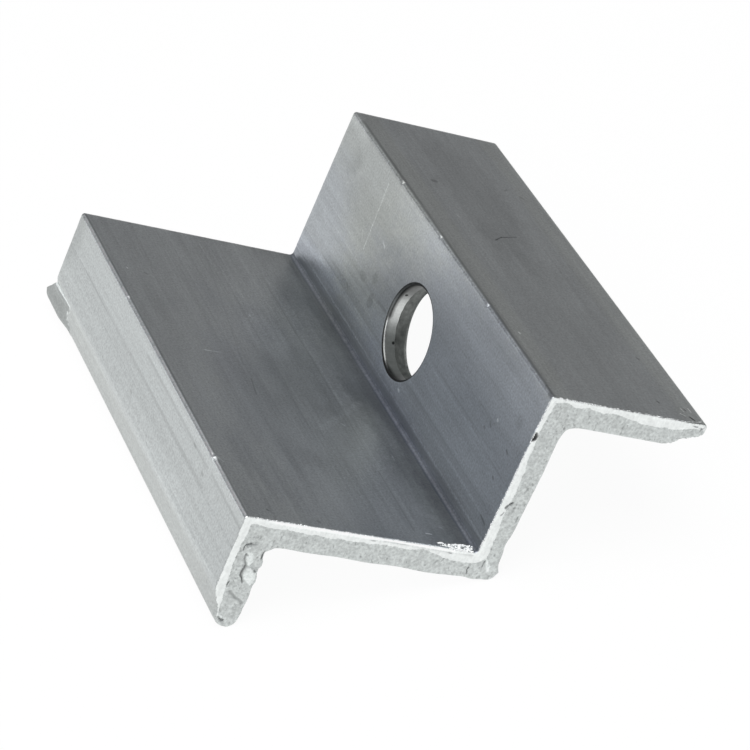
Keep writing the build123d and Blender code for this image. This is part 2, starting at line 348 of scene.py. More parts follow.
BAND_WIDTHS = ((0.0, 0.5), (0.3, 0.51), (1.95, 0.69), (3.1, 0.96), (6.2, 0.96), (7.6, 0.77), (9.0, 0.53), (10.4, 0.66),
               (11.8, 0.48), (13.0, 0.58), (13.9, 0.32), (15.6, 0.62), (16.9, 0.6), (18.1, 0.42), (19.2, 0.44),
               (21.5, 0.6), (24.0, 0.85), (27.8, 0.84), (29.6, 0.98), (31.4, 1.05), (32.4, 1.14), (34.1, 1.02),
               (36.1, 0.55), (36.6, 0.5), (37.4, 0.7), (39.6, 0.66), (41.2, 0.75), (43.0, 0.82), (46.9, 0.8),
               (48.9, 0.68), (50.7, 0.78), (52.0, 0.62), (53.4, 0.7), (55.0, 0.86), (56.2, 0.7), (57.8, 0.69),
               (59.1, 0.82), (60.5, 0.88), (61.9, 0.66), (63.4, 0.33), (64.0, 0.05))

@dataclass
class Noise:
    """Smooth random values over a plane, the same at each run."""

    seed: int
    size: float
    octaves: int = 1
    lattice: Array = field(init=False)

    def __post_init__(self) -> None:
        """Draw the values at the lattice's corners."""
        self.lattice = np.random.default_rng(self.seed).uniform(-1, 1, (LATTICE, LATTICE))

    def at(self, x: Array, y: Array) -> Array:
        """Look the noise up.

        Args:
            x: first coordinates.
            y: second coordinates.

        Returns:
            Values from -1 to 1, one for each place.
        """
        total = np.zeros(np.broadcast(x, y).shape)
        share, scale, whole = 1.0, 1 / self.size, 0.0
        for octave in range(self.octaves):
            px, py = (np.asarray(p) * scale + shift * octave for p, shift in zip((x, y), OCTAVE_SHIFTS))
            ix, iy = np.floor(px).astype(int), np.floor(py).astype(int)
            fx, fy = px - ix, py - iy
            fx, fy = fx * fx * (3 - 2 * fx), fy * fy * (3 - 2 * fy)
            ix, iy, jx, jy = (k % LATTICE for k in (ix, iy, ix + 1, iy + 1))
            low = self.lattice[ix, iy] * (1 - fx) + self.lattice[jx, iy] * fx
            high = self.lattice[ix, jy] * (1 - fx) + self.lattice[jx, jy] * fx
            total += share * (low * (1 - fy) + high * fy)
            whole += share
            share, scale = share / 2, scale * 2
        return total / whole


def smooth(value: Array, low: float, high: float) -> Array:
    """Return 0 below low, 1 above high and a smooth rise between them."""
    t = np.clip((value - low) / (high - low), 0, 1)
    return t * t * (3 - 2 * t)


def nearest_on(points: Array, path: Array) -> tuple[Array, Array]:
    """Measure 2-D points against an open path.

    Args:
        points: the points.
        path: the path's corners, in order.

    Returns:
        How far each point is from the path, and how far along it the nearest place is.
    """
    nearest, place, run = np.full(len(points), np.inf), np.zeros(len(points)), 0.0
    for a, b in zip(path[:-1], path[1:]):
        step = b - a
        length = float(np.hypot(*step))
        t = np.clip((points - a) @ step / max(length * length, 1e-12), 0, 1)
        away = np.hypot(*(points - a - t[:, None] * step).T)
        closer = away < nearest
        nearest = np.where(closer, away, nearest)
        place = np.where(closer, run + t * length, place)
        run += length
    return nearest, place


def closed(loop: Array) -> Array:
    """Return a loop with its first point repeated at the end."""
    return np.vstack([loop, loop[:1]])


def inside(points: Array, loop: Array) -> Array:
    """Find the 2-D points inside a closed loop.

    Args:
        points: the points.
        loop: the loop's corners, in order.

    Returns:
        True for each point that lies inside.
    """
    x, y = points[:, 0], points[:, 1]
    odd = np.zeros(len(points), bool)
    for a, b in zip(loop, np.roll(loop, -1, axis=0)):
        crosses = (a[1] > y) != (b[1] > y)
        if a[1] != b[1]:
            odd ^= crosses & (x < (b[0] - a[0]) * (y - a[1]) / (b[1] - a[1]) + a[0])
    return odd


def triangulate(loops: list[Array], points: Array) -> Array:
    """Fill the first loop, less the loops after it, with triangles through all the points.

    Args:
        loops: closed loops of 2-D points, the outer one first.
        points: 2-D points inside the outer loop and outside the holes.

    Returns:
        Triangles, as indices into the loops' points followed by the inner points.
    """
    every = np.vstack([*loops, points])
    edges, start = [], 0
    for loop in loops:
        edges += [(start + k, start + (k + 1) % len(loop)) for k in range(len(loop))]
        start += len(loop)
    _, _, faces, sources, _, _ = delaunay_2d_cdt([Vector(p) for p in every], edges, [], 0, WELD)
    source = np.array([s[0] if s else -1 for s in sources])
    tris = source[np.array(faces)]
    tris = tris[(tris >= 0).all(axis=1)]
    middle = every[tris].mean(axis=1)
    keep = inside(middle, loops[0])
    for hole in loops[1:]:
        keep &= ~inside(middle, hole)
    return tris[keep]


@dataclass(frozen=True)
class Ring:
    """Samples of the section's outline: points and outward normals, with the face and the place along it."""

    points: Array
    normals: Array
    face: Array
    place: Array


@dataclass(frozen=True)
class Section:
    """The clamp's extruded section, a chain of four square legs."""

    length: float = 50.0
    wall: float = 2.5
    lip_thickness: float = 3.1
    lip_reach: float = 10.8
    lip_lean: float = 0.5
    seat_depth: float = 22.0
    flange_width: float = 15.8
    grip_height: float = 34.5
    bevel_height: float = 3.8
    bevel_setback: float = 1.35
    nose_radius: float = 1.3
    grip_edge_radius: float = 0.7
    bevel_start_radius: float = 1.0
    outer_edge_radius: float = 0.3
    frame_corner_radius: float = 0.8
    heel_radius: float = 0.5
    seat_corner_radius: float = 0.3
    leg_corner_radius: float = 0.5
    foot_edge_radius: float = 0.25
    arc_pitch: float = 0.12
    shown_pitch: float = 0.22
    hidden_pitch: float = 0.4
    least_gap: float = 0.03
    least_step: float = 0.012
    least_radius: float = 0.02

    @property
    def leg_inner(self) -> float:
        """v of the leg's underside."""
        return self.flange_width - self.wall

    @property
    def bolt_height(self) -> float:
        """v of the bolt hole's axis."""
        return self.leg_inner / 2

    @property
    def foot(self) -> float:
        """u of the leg's foot."""
        lean = math.radians(self.lip_lean)
        return (self.lip_thickness + self.wall * math.sin(lean)) / math.cos(lean) + self.grip_height

    @property
    def bevel_slope(self) -> float:
        """How far the bevel comes in for each millimetre down."""
        return self.bevel_setback / self.bevel_height

    def nose_centre(self, setback: float, slope: float) -> float:
        """Return how far across the lip the centre of the nose's round is, for a bevel's setback and slope."""
        return setback + self.nose_radius * math.tan((math.pi / 2 - math.atan(slope)) / 2)

    def on_lip(self, down: float, across: float) -> Pair:
        """Place a point on the leaning lip.

        Args:
            down: how far down the outer face.
            across: how far across the thickness.

        Returns:
            The section point (u, v).
        """
        lean = math.radians(self.lip_lean)
        s, c = math.sin(lean), math.cos(lean)
        return (down * s + across * c, across * s - down * c)

    def corners(self) -> list[tuple[Pair, float]]:
        """List the sharp corners, counter-clockwise, each where its face starts.

        Returns:
            Each corner (u, v) with its radius.
        """
        heel = self.seat_depth + self.wall
        return [
            ((0, 0), self.outer_edge_radius),
            (self.on_lip(self.lip_reach - self.bevel_height, 0), self.bevel_start_radius),
            (self.on_lip(self.lip_reach, self.bevel_setback), self.nose_radius),
            (self.on_lip(self.lip_reach, self.lip_thickness), self.grip_edge_radius),
            ((self.foot - self.grip_height, -self.wall), self.frame_corner_radius),
            ((heel, -self.wall), self.heel_radius),
            ((heel, self.leg_inner), self.leg_corner_radius),
            ((self.foot, self.leg_inner), self.foot_edge_radius),
            ((self.foot, self.flange_width), self.foot_edge_radius),
            ((self.seat_depth, self.flange_width), self.outer_edge_radius),
            ((self.seat_depth, 0), self.seat_corner_radius),
        ]

    def knots(self, face: Face, start: float, end: float, wanted: list[float]) -> Array:
        """Return the shares of a face's flat stretch at which it is sampled.

        Args:
            face: the face.
            start: place of its flat stretch's start, v or u.
            end: place of its end.
            wanted: places that get a sample of their own.

        Returns:
            Shares between 0 and 1, in order, without the two ends.
        """
        pitch = self.shown_pitch if face in SHOWN else self.hidden_pitch
        count = max(2, round(abs(end - start) / pitch))
        low, high = sorted((start, end))
        near = [p for p in wanted if low + self.least_gap < p < high - self.least_gap]
        places = [p for p in np.linspace(start, end, count + 1)[1:-1] if all(abs(p - q) > pitch / 3 for q in near)]
        shares = np.sort((np.array(places + near) - start) / (end - start))
        return shares[np.diff(shares, prepend=-1) * abs(end - start) > self.least_step]

    def ring(self, inset: float, wanted: dict[Face, list[float]]) -> Ring:
        """Sample the outline, drawn in by an inset, with the same samples at every inset.

        Args:
            inset: how far the outline is drawn into the material.
            wanted: places on each face that get a sample.

        Returns:
            The samples, starting at the lip's outer corner.
        """
        sharp = np.array([c for c, _ in self.corners()], float)
        radii = np.array([r for _, r in self.corners()])
        run = np.roll(sharp, -1, axis=0) - sharp
        along = run / np.hypot(*run.T)[:, None]
        out = np.stack([along[:, 1], -along[:, 0]], axis=1)
        before, out_before = np.roll(along, 1, axis=0), np.roll(out, 1, axis=0)
        turn = np.arctan2(before[:, 0] * along[:, 1] - before[:, 1] * along[:, 0], (before * along).sum(axis=1))
        mitre = (out + out_before) / (1 + (out * out_before).sum(axis=1))[:, None]
        convex = turn > 0

        def inset_by(amount: float) -> tuple[Array, Array, Array]:
            """Draw the corners in.

            Args:
                amount: how far the outline moves in, in mm.

            Returns:
                The corners' radii and the points at which their rounds start and end.
            """
            corner = sharp - amount * mitre
            radius = np.where(convex, np.maximum(radii - amount, self.least_radius), radii + amount)
            reach = radius * np.tan(np.abs(turn) / 2)
            return radius, corner - reach[:, None] * before, corner + reach[:, None] * along

        _, plain_in, plain_out = inset_by(0)
        radius, arc_in, arc_out = inset_by(inset)
        points, normals, faces, places = [], [], [], []
        for face in Face:
            axis = 1 if face in ALONG_V else 0
            after = (face + 1) % len(Face)
            sign = 1 if convex[face] else -1
            centre = arc_in[face] - sign * radius[face] * out_before[face]
            count = max(3, math.ceil(radii[face] * abs(turn[face]) / self.arc_pitch))
            for k in range(count + 1):
                c, s = math.cos(turn[face] * k / count), math.sin(turn[face] * k / count)
                normal = np.array([[c, -s], [s, c]]) @ out_before[face]
                points.append(centre + sign * radius[face] * normal)
                normals.append(normal)
                faces.append(-1)
            start, end = plain_out[face][axis], plain_in[after][axis]
            for share in self.knots(face, start, end, wanted.get(face, [])):
                points.append(arc_out[face] + share * (arc_in[after] - arc_out[face]))
                normals.append(out[face])
                faces.append(int(face))
                places.append((len(points) - 1, points[-1][axis]))
        place = np.zeros(len(points))
        place[[k for k, _ in places]] = [p for _, p in places]
        return Ring(np.array(points), np.array(normals), np.array(faces), place)


@dataclass(frozen=True)
class Placing:
    """Where the section lies in the row frame, in metres."""

    origin: Array
    across: Array
    up: Array

    @classmethod
    def from_frame(cls, section: Section) -> "Placing":
        """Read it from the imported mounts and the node's box.

        Args:
            section: the clamp's section.

        Returns:
            The placing.
        """
        mounts = {m["name"]: m for m in frame["record"]["mounts"]}
        across = -np.array(mounts["bolt_hole"]["axis"], float)
        up = -np.array(mounts["frame_side_face"]["axis"], float)
        seat = np.array(mounts["washer_seat"]["pos_m"], float)
        origin = seat - MM * (section.seat_depth * across + section.bolt_height * up)
        origin[1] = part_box(NODE)[0].y
        return cls(origin, across, up)

    def world(self, points: Array) -> Array:
        """Return row-frame metres for section points (u, v, y)."""
        axes = np.stack([self.across, self.up, np.array([0.0, 1.0, 0.0])])
        return self.origin + MM * np.atleast_2d(points) @ axes

    @property
    def tilt(self) -> float:
        """How far the web falls from level, in radians."""
        return math.atan2(-self.across[2], self.across[0])


@dataclass
class MeshData:
    """Vertices, faces and per-vertex values of the clamp while it is put together."""

    points: list[Array] = field(default_factory=list)
    values: dict[str, list[Array]] = field(default_factory=lambda: {name: [] for name in VALUES})
    faces: list[tuple[int, ...]] = field(default_factory=list)
    finish: list[int] = field(default_factory=list)
    count: int = 0

    def add_points(self, points: Array, **values: Array) -> Array:
        """Add section points with their values.

        Args:
            points: the points (u, v, y).
            values: per-vertex values by name.

        Returns:
            The points' indices.
        """
        self.points.append(points)
        for name in VALUES:
            self.values[name].append(np.array(np.broadcast_to(values.get(name, 0.0), len(points)), float))
        self.count += len(points)
        return np.arange(self.count - len(points), self.count)

    def add_faces(self, faces: Array, finish: Finish) -> None:
        """Add faces, given by their vertices, in one finish."""
        self.faces += [tuple(int(k) for k in f) for f in faces]
        self.finish += [int(finish)] * len(faces)


@dataclass(frozen=True)
class Remnant:
    """The sliver that the saw left over the rear of the nose."""

    top: float = 7.7
    ledge: float = 0.15
    setback: float = 0.81
    root: float = 4.9
    shoulder: float = 0.1
    reach: float = 2.4
    point: float = 9.5
    top_wave: float = 0.22
    root_wave: float = 0.16
    thin_share: float = 0.15
    thin_run: Pair = (0.6, 3.5)
    torn_width: float = 0.07
    root_steps: tuple[tuple[float, Pair], ...] = ((0.8, (8.0, 8.6)), (-0.9, (9.2, 9.7)))

    def thickness(self, section: Section, ring: Ring) -> Array:
        """Work out how thick the remnant is round the outline.

        Args:
            section: the clamp's section.
            ring: the outline's samples.

        Returns:
            How far each sample moves out, against u.
        """
        across = section.bevel_slope * (self.top + section.bevel_height - section.lip_reach) - self.ledge
        slope = (self.setback - across) / (section.lip_reach - self.top)
        centre = section.nose_centre(section.bevel_setback, section.bevel_slope)
        most = centre - section.nose_centre(self.setback, slope)
        down, u = -ring.points[:, 1], ring.points[:, 0]
        amount = np.clip(self.ledge + (section.bevel_slope - slope) * (down - self.top), 0, most)
        return amount * (1 - smooth(u, centre - 0.1, centre + 0.15)) * (down > self.top - 1)

    def cover(self, section: Section, v: Array, y: Array) -> tuple[Array, Array]:
        """Find the places under the remnant.

        Args:
            section: the clamp's section.
            v: places up the section.
            y: places along the extrusion.

        Returns:
            How far the remnant covers each place, and the painted highlight along its torn edge.
        """
        below = -v - (self.top - 0.08 + self.top_wave * Noise(43, 1.3, 3).at(y, 0 * y))
        front = root = section.length - self.root + 0.2
        for step, down in self.root_steps:
            root = root + step * smooth(-v, *down)
        behind = y - (root + self.root_wave * Noise(47, 0.5, 2).at(v, 0 * v))
        depth = np.minimum(below, behind)
        share = self.thin_share + (1 - self.thin_share) * smooth(y, *(front + run for run in self.thin_run))
        # Painted highlight along the torn edge.
        painted_edge_highlight = 1 - smooth(np.abs(depth - 0.04), 0.05, 0.12)
        return share * smooth(depth, 0.0, self.torn_width), painted_edge_highlight


@dataclass(frozen=True)
class FootBreak:
    """The corner broken out of the leg's foot: its edge on the sawn face, and how far it runs in."""

    edge: tuple[Pair, ...] = ((34.2, 13.25), (34.87, 13.5), (35.61, 14.04), (36.5, 14.31), (37.35, 14.67),
                               (37.7, 15.0))
    depth: float = 3.0
    steep: float = 1.2
    ragged: float = 0.05

    def at(self, points: Array) -> Array:
        """Work out how deep the break is.

        Args:
            points: section points (u, v).

        Returns:
            Its depth along y at each point.
        """
        u, v = points.T
        edge = np.interp(u, *np.array(self.edge).T) + self.ragged * Noise(17, 0.35, 2).at(u, v)
        gone = np.clip((edge - v) / self.steep, 0, 1) * (u > self.edge[0][0])
        return self.depth * np.sqrt(gone)


@dataclass(frozen=True)
class SawnEnd:
    """The two sawn end faces: their heights over the section and their filling with triangles."""

    section: Section
    remnant: Remnant = field(default_factory=Remnant)
    foot_break: FootBreak = field(default_factory=FootBreak)
    level: float = 0.09
    band_level: float = 0.03
    band_drop: float = 0.03
    band_round: float = 0.2
    band_edge: Pair = (0.07, 0.05)
    # Stretches of the band path whose outer edge gets a stronger painted highlight.
    painted_highlight_run: tuple[Pair, Pair] = ((33.0, 34.0), (50.0, 52.0))
    crack_edge: Pair = (0.25, 0.8)
    rim_round: float = 0.12
    rim_drop: float = 0.05
    lobe_height: float = 0.07
    lobe_round: float = 0.08
    pit_depth: float = 0.035
    pit_range: Pair = (0.34, 0.62)
    foot_dip: float = 0.14
    foot_corner: tuple[Pair, Pair] = ((35.8, 37.5), (15.2, 15.75))
    rear_inset: float = 0.06
    disorder: float = 0.2
    # Raised lobes of the torn front face, each painted with a highlight.
    lobes: tuple[tuple[Pair, ...], ...] = (
        ((2.1, -4.8), (2.5, -4.8), (2.85, -4.97), (3.17, -5.33), (3.25, -5.83), (3.1, -6.5), (2.68, -6.3), (2.2, -5.9),
         (1.98, -5.4)),
        ((1.65, -3.8), (1.6, -3.3), (1.9, -3.2), (2.27, -3.57), (2.42, -4.15), (2.4, -4.62), (2.1, -4.68), (1.8, -4.3)),
        ((1.28, -3.25), (1.45, -2.92), (1.72, -2.8), (1.75, -2.95), (1.46, -3.15), (1.38, -3.35)),
        ((22.97, -0.3), (23.25, -0.38), (23.76, -0.98), (23.96, -1.65), (23.7, -1.72), (23.36, -1.2)),
        ((1.49, -9.6), (1.75, -9.65), (2.12, -9.96), (2.07, -10.14), (1.74, -9.93), (1.5, -9.8)),
    )

    @property
    def band_path(self) -> Array:
        """Follow the shown edges that carry the band.

        Returns:
            Section points (u, v) from the leg's foot to the nose.
        """
        s = self.section
        return np.array([(s.foot, s.flange_width), (s.seat_depth, s.flange_width), (s.seat_depth, 0), (0, 0),
                         s.on_lip(s.lip_reach - s.bevel_height, 0), s.on_lip(s.lip_reach, s.bevel_setback)])

    def rounded(self, points: Array, ring: Array) -> Array:
        """Return how far the rim's round draws section points back from the saw's cut."""
        rim, _ = nearest_on(points, closed(ring))
        return self.rim_drop * np.clip(1 - rim / self.rim_round, 0, 1)

    def front(self, points: Array, ring: Array) -> dict[str, Array]:
        """Shape the front face.

        Args:
            points: section points (u, v).
            ring: the outline's section points.

        Returns:
            The depth y and the finish values at each point, by name, with painted highlights on the band's edge and the
            lobes and painted shade in the cracks and pits.
        """
        u, v = points.T
        edge, run = nearest_on(points, self.band_path)
        width = np.interp(run, *np.array(BAND_WIDTHS).T)
        width = width * (1 + 0.12 * Noise(11, 0.7, 2).at(u, v)) + 0.05 * Noise(13, 0.16, 2).at(u, v)
        band = 1 - smooth(edge, width - self.band_edge[0], width + self.band_edge[1])
        torn = 0.045 * Noise(3, 1.0, 2).at(u, v) + 0.022 * Noise(7, 0.3, 2).at(u, v)
        flat = self.band_level + self.band_drop * np.clip(1 - edge / self.band_round, 0, 1) ** 2
        flat += 0.012 * Noise(9, 0.5, 2).at(u, v)
        # Painted highlight along the band's outer edge, stronger on one stretch.
        starts, ends = self.painted_highlight_run
        thin = smooth(run, *starts) * (1 - smooth(run, *ends))
        bright = (0.25 + 0.75 * thin) * (1 - smooth(edge, 0.24, 0.34)) * band
        depth = (self.level + torn) * (1 - band) + flat * band
        depth += self.rounded(points, ring) * (1 - band)
        # Painted shade in the cracks, along with their depth.
        dark, ragged = np.zeros(len(points)), Noise(53, 0.35, 2).at(u, v)
        for crack in CRACKS:
            away, _ = nearest_on(points, np.array(crack.points))
            width = crack.width * (1 + 0.45 * ragged)
            inner, outer = (width * edge for edge in self.crack_edge)
            depth += crack.depth * (1 - smooth(away, inner, outer))
            dark = np.maximum(dark, crack.dark * (1 - smooth(away, inner, width)))
        # Raised lobes, painted with a highlight.
        for lobe in self.lobes:
            outline = np.array(lobe)
            away, _ = nearest_on(points, closed(outline))
            raised = np.where(inside(points, outline), smooth(away, 0.0, self.lobe_round), 0)
            depth -= self.lobe_height * raised
            bright = np.maximum(bright, raised)
        pit = smooth(Noise(29, 0.34, 3).at(u, 0.7 * v), *self.pit_range) * (1 - band)
        depth += self.pit_depth * pit
        # Painted shade in the pits.
        dark = np.maximum(dark, 0.30 * pit)
        across, up = self.foot_corner
        depth += self.foot_dip * smooth(u, *across) * smooth(v, *up)
        depth = np.maximum(depth, self.foot_break.at(points))
        return {"y": np.maximum(depth, 0.0), "band": band, "dark": dark, "bright": bright}

    def rear(self, points: Array, ring: Array) -> dict[str, Array]:
        """Shape the rear face.

        Args:
            points: section points (u, v).
            ring: the outline's section points.

        Returns:
            The place y at each point, by name.
        """
        u, v = points.T
        left = self.remnant
        end = self.section.length - self.rear_inset + 0.02 * Noise(5, 0.8, 3).at(u, v)
        end -= self.rounded(points, ring)
        down = -v - left.top
        tab = left.shoulder + (left.reach - left.shoulder) * np.clip(down / (left.point - left.top), 0, 1)
        end += (tab + 0.08 * Noise(23, 0.5, 3).at(u, v)) * smooth(down, -0.04, 0.04)
        return {"y": np.minimum(end, self.section.length + left.reach)}

    def lattice(self, ring: Array, pitch: float) -> Array:
        """Spread points evenly inside the outline, with a little disorder.

        Args:
            ring: the outline's section points.
            pitch: the points' spacing, in mm.

        Returns:
            The section points (u, v).
        """
        low, high = ring.min(axis=0), ring.max(axis=0)
        rows = []
        for k, v in enumerate(np.arange(low[1], high[1], pitch * ROW_STEP)):
            u = np.arange(low[0] + (k % 2) * pitch / 2, high[0], pitch)
            rows.append(np.stack([u, np.full(len(u), v)], axis=1))
        points = np.vstack(rows)
        points = points[inside(points, ring)]
        points += np.random.default_rng(41).uniform(-self.disorder, self.disorder, points.shape) * pitch
        away, _ = nearest_on(points, closed(ring))
        return points[away > pitch * 0.45]


@dataclass(frozen=True)
class BoltHole:
    """The punched hole: rolled rim, burnished land, ragged step and torn band."""

    section: Section
    radius: float = 4.25
    rollover: float = 0.25
    breakout: float = 0.10
    land: float = 1.3
    step_wave: float = 0.10
    torn_step: float = 0.10
    ragged: float = 0.05
    segments: int = 144
    rollover_rings: int = 6
    land_rings: Point = (0.35, 0.7, 0.97)
    torn_rings: int = 9
    # Rim rings shallower than this share of the rollover get a second step of painted shade.
    painted_shade_rim: float = 0.3

    @property
    def angles(self) -> Array:
        """Angles of the samples round the hole."""
        return np.arange(self.segments) / self.segments * 2 * math.pi

    @property
    def centre(self) -> Array:
        """The bolt's axis, as (v, y)."""
        return np.array([self.section.bolt_height, self.section.length / 2])

    def circle(self, radius: float | Array) -> Array:
        """Return points (v, y) of a circle round the bolt's axis."""
        spokes = np.stack([np.cos(self.angles), np.sin(self.angles)], axis=1)
        return self.centre + spokes * np.broadcast_to(radius, self.segments)[:, None]

    def rings(self) -> list[tuple[Array, Array, float]]:
        """Lay the wall's rings from the washer seat to the back.

        Returns:
            Each ring's radii, its depths and how torn it is.
        """
        angle, even = self.angles, np.ones(self.segments)
        step = self.land + self.step_wave * np.sin(2 * angle + 0.6)
        step += self.ragged * Noise(31, 0.35, 3).at(angle * 4, 0 * angle)
        rows = []
        for bend in np.linspace(0, math.pi / 2, self.rollover_rings):
            out, deep = 1 - math.sin(bend), 1 - math.cos(bend)
            rows.append(((self.radius + self.rollover * out) * even, self.rollover * deep * even, 0.0))
        for share in self.land_rings:
            rows.append((self.radius * even, self.rollover + share * (step - self.rollover), 0.0))
        end = self.section.wall - self.breakout
        for share in np.linspace(0.03, 1.0, self.torn_rings):
            depth = step + share * (end - step)
            rough = self.torn_step + self.ragged * Noise(37, 0.5, 3).at(angle * 5, depth * 2.5)
            rows.append((self.radius + rough * (1 - smooth(np.array(share), 0.9, 1.0)), depth, 1.0))
        rows.append(((self.radius + self.breakout) * even, self.section.wall * even, 1.0))
        return rows


@dataclass
class Clamp:
    """The whole clamp as one closed mesh."""

    section: Section = field(default_factory=Section)
    remnant: Remnant = field(default_factory=Remnant)
    front_zone: float = 4.0
    rear_zone: float = 43.6
    deepest_inset: float = 0.6
    edge_wear: float = 0.03
    wear_reach: float = 0.1
    front_pitch: float = 0.11
    rear_pitch: float = 0.34
    front_steps: tuple[float, ...] = (0, 0.04, 0.09, 0.15, 0.23, 0.33, 0.45, 0.6, 0.8, 1.05, 1.35, 1.8, 2.4, 3.1)
    station_pitch: float = 1.6
    dent_clearance: float = 0.9
    dent_steps: tuple[float, ...] = (-2, -1.2, -0.6, 0, 0.6, 1.2, 2)
    rear_steps: int = 34
    line_samples: tuple[float, ...] = (-0.5, -0.25, 0, 0.25, 0.5)
    torn_samples: Point = (-0.25, 0.35, 0.05)
    window_half: Pair = (5.6, 6.2)
    window_columns: int = 32
    collar: tuple[float, ...] = (0.06, 0.15, 0.28)
    collar_end: float = 0.42

    @cached_property
    def wanted(self) -> dict[Face, list[float]]:
        """List the places that get a sample: both sides of the die lines and the remnant's torn edge.

        Returns:
            The places across each face.
        """
        places = {face: [] for face in Face}
        for line in DIE_LINES:
            places[line.face] += [line.place + line.width * k for k in self.line_samples]
        places[Face.BEVEL] += list(-self.remnant.top + np.arange(*self.torn_samples))
        return places

    @cached_property
    def plain(self) -> Ring:
        """The outline at full size."""
        return self.section.ring(0, self.wanted)

    @cached_property
    def drawn_in(self) -> Ring:
        """The outline at the deepest inset."""
        return self.section.ring(self.deepest_inset, self.wanted)

    def stations(self) -> tuple[Array, Array, Array]:
        """List the places along the extrusion.

        Returns:
            Shares of the front zone, y between the zones, and shares of the rear zone.
        """
        places = list(np.arange(self.front_zone, self.rear_zone, self.station_pitch))
        for dent in DENTS:
            if self.front_zone < dent.y < self.rear_zone:
                places = [p for p in places if abs(p - dent.y) > self.dent_clearance]
                places += [dent.y + k * dent.reach_y for k in self.dent_steps]
        near = np.array(self.front_steps) / self.front_zone
        return near, np.unique(np.round(places, 3)), np.linspace(0, 1, self.rear_steps)

    def build(self, placing: Placing, finishes: list[bpy.types.Material]) -> bpy.types.Object:
        """Make the mesh and return its object.

        Args:
            placing: where the section lies.
            finishes: a material for each member of Finish.

        Returns:
            The object, linked to the scene.
        """
        data, end = MeshData(), SawnEnd(self.section, self.remnant)
        shell, first, last, flange_y = self.add_shell(data, end)
        self.add_end(data, end, shell[:, 0], first, end.front, self.front_pitch)
        self.add_end(data, end, shell[:, -1], last, end.rear, self.rear_pitch)
        self.add_hole(data, shell, flange_y)
        return self.to_object(data, placing, finishes)

    def add_shell(self, data: MeshData, end: SawnEnd) -> tuple[Array, Array, Array, Array]:
        """Add the drawn faces, apart from the windows round the hole.

        Args:
            data: where the faces go.
            end: the sawn ends.

        Returns:
            Vertex indices by sample and station, the outlines at both ends, and each station's y on
            the flange.
        """
        near, middle, rear = self.stations()
        plain, count = self.plain, len(self.plain.points)
        pull = (self.drawn_in.points - plain.points) / self.deepest_inset
        rim = plain.points + self.edge_wear * pull
        front_y, rear_y = end.front(rim, rim)["y"], end.rear(rim, rim)["y"]
        columns = [front_y + (self.front_zone - front_y) * t for t in near]
        columns += [np.full(count, y) for y in middle]
        columns += [self.rear_zone + (rear_y - self.rear_zone) * t for t in rear]
        y = np.stack(columns, axis=1)
        from_ends = (y - front_y[:, None], rear_y[:, None] - y)
        worn = sum(np.clip(1 - away / self.wear_reach, 0, 1) ** 2 for away in from_ends)
        places = plain.points[:, None, :] + pull[:, None, :] * (self.edge_wear * worn)[:, :, None]
        lift, bright = self.relief(plain, places, y)
        cover, painted_ridge_highlight = self.remnant.cover(self.section, places[:, :, 1], y)
        thickness = self.remnant.thickness(self.section, plain)
        on_nose = thickness > 0
        places = places + plain.normals[:, None, :] * lift[:, :, None]
        places[:, :, 0] -= thickness[:, None] * cover
        # The painted highlight of the remnant's torn edge joins the dents' painted highlights.
        bright = np.maximum(bright, painted_ridge_highlight * on_nose[:, None])
        points = np.concatenate([places, y[:, :, None]], axis=2)
        # The remnant's face is marked to be rougher and darkened as painted shade.
        index = data.add_points(points.reshape(-1, 3), bright=bright.ravel(),
                                dull=((cover > 0.1) * on_nose[:, None]).ravel()).reshape(y.shape)
        after = np.roll(index, -1, axis=0)
        quads = np.stack([index[:, :-1], index[:, 1:], after[:, 1:], after[:, :-1]], axis=-1)
        flange_y = y[int(np.argmax(plain.face == Face.SEAT))]
        keep = np.ones(quads.shape[:2], bool)
        for i0, i1, j0, j1 in self.windows(flange_y):
            keep[i0:i1, j0:j1] = False
        data.add_faces(quads[keep], Finish.DRAWN)
        return index, places[:, 0, :], places[:, -1, :], flange_y

    def relief(self, ring: Ring, places: Array, y: Array) -> tuple[Array, Array]:
        """Work out how the drawn surface leaves its plain form.

        Args:
            ring: the outline's samples.
            places: section points by sample and station.
            y: places along the extrusion, likewise.

        Returns:
            How far each place stands out, and the painted highlight on its dents.
        """
        lift, bright = np.zeros(y.shape), np.zeros(y.shape)
        for face in Face:
            chosen = ring.face == face
            lift[chosen] = die_relief(face, ring.place[chosen][:, None], y[chosen])
        for dent in DENTS:
            away = ((places[:, :, 0] - dent.u) ** 2 + (places[:, :, 1] - dent.v) ** 2) / dent.reach ** 2
            pushed = np.exp(-DENT_FALLOFF * (away + (y - dent.y) ** 2 / dent.reach_y ** 2))
            lift -= dent.depth * pushed
            bright = np.maximum(bright, dent.bright * smooth(pushed, 0.3, 0.7))
        return lift, bright

    def windows(self, y: Array) -> list[Window]:
        """Find the parts of the flange's two faces that are cut out for the hole.

        Args:
            y: each station's place along the extrusion.

        Returns:
            The first and last sample and station of each.
        """
        middle, (tall, wide) = self.section.length / 2, self.window_half
        low, high = self.section.bolt_height - tall, self.section.bolt_height + tall
        stations = np.flatnonzero((y > middle - wide) & (y < middle + wide))
        found = []
        for side in (Face.SEAT, Face.FLANGE_BACK):
            face = self.plain.face == side
            samples = np.flatnonzero(face & (self.plain.place > low) & (self.plain.place < high))
            found.append((int(samples[0]), int(samples[-1]), int(stations[0]), int(stations[-1])))
        return found

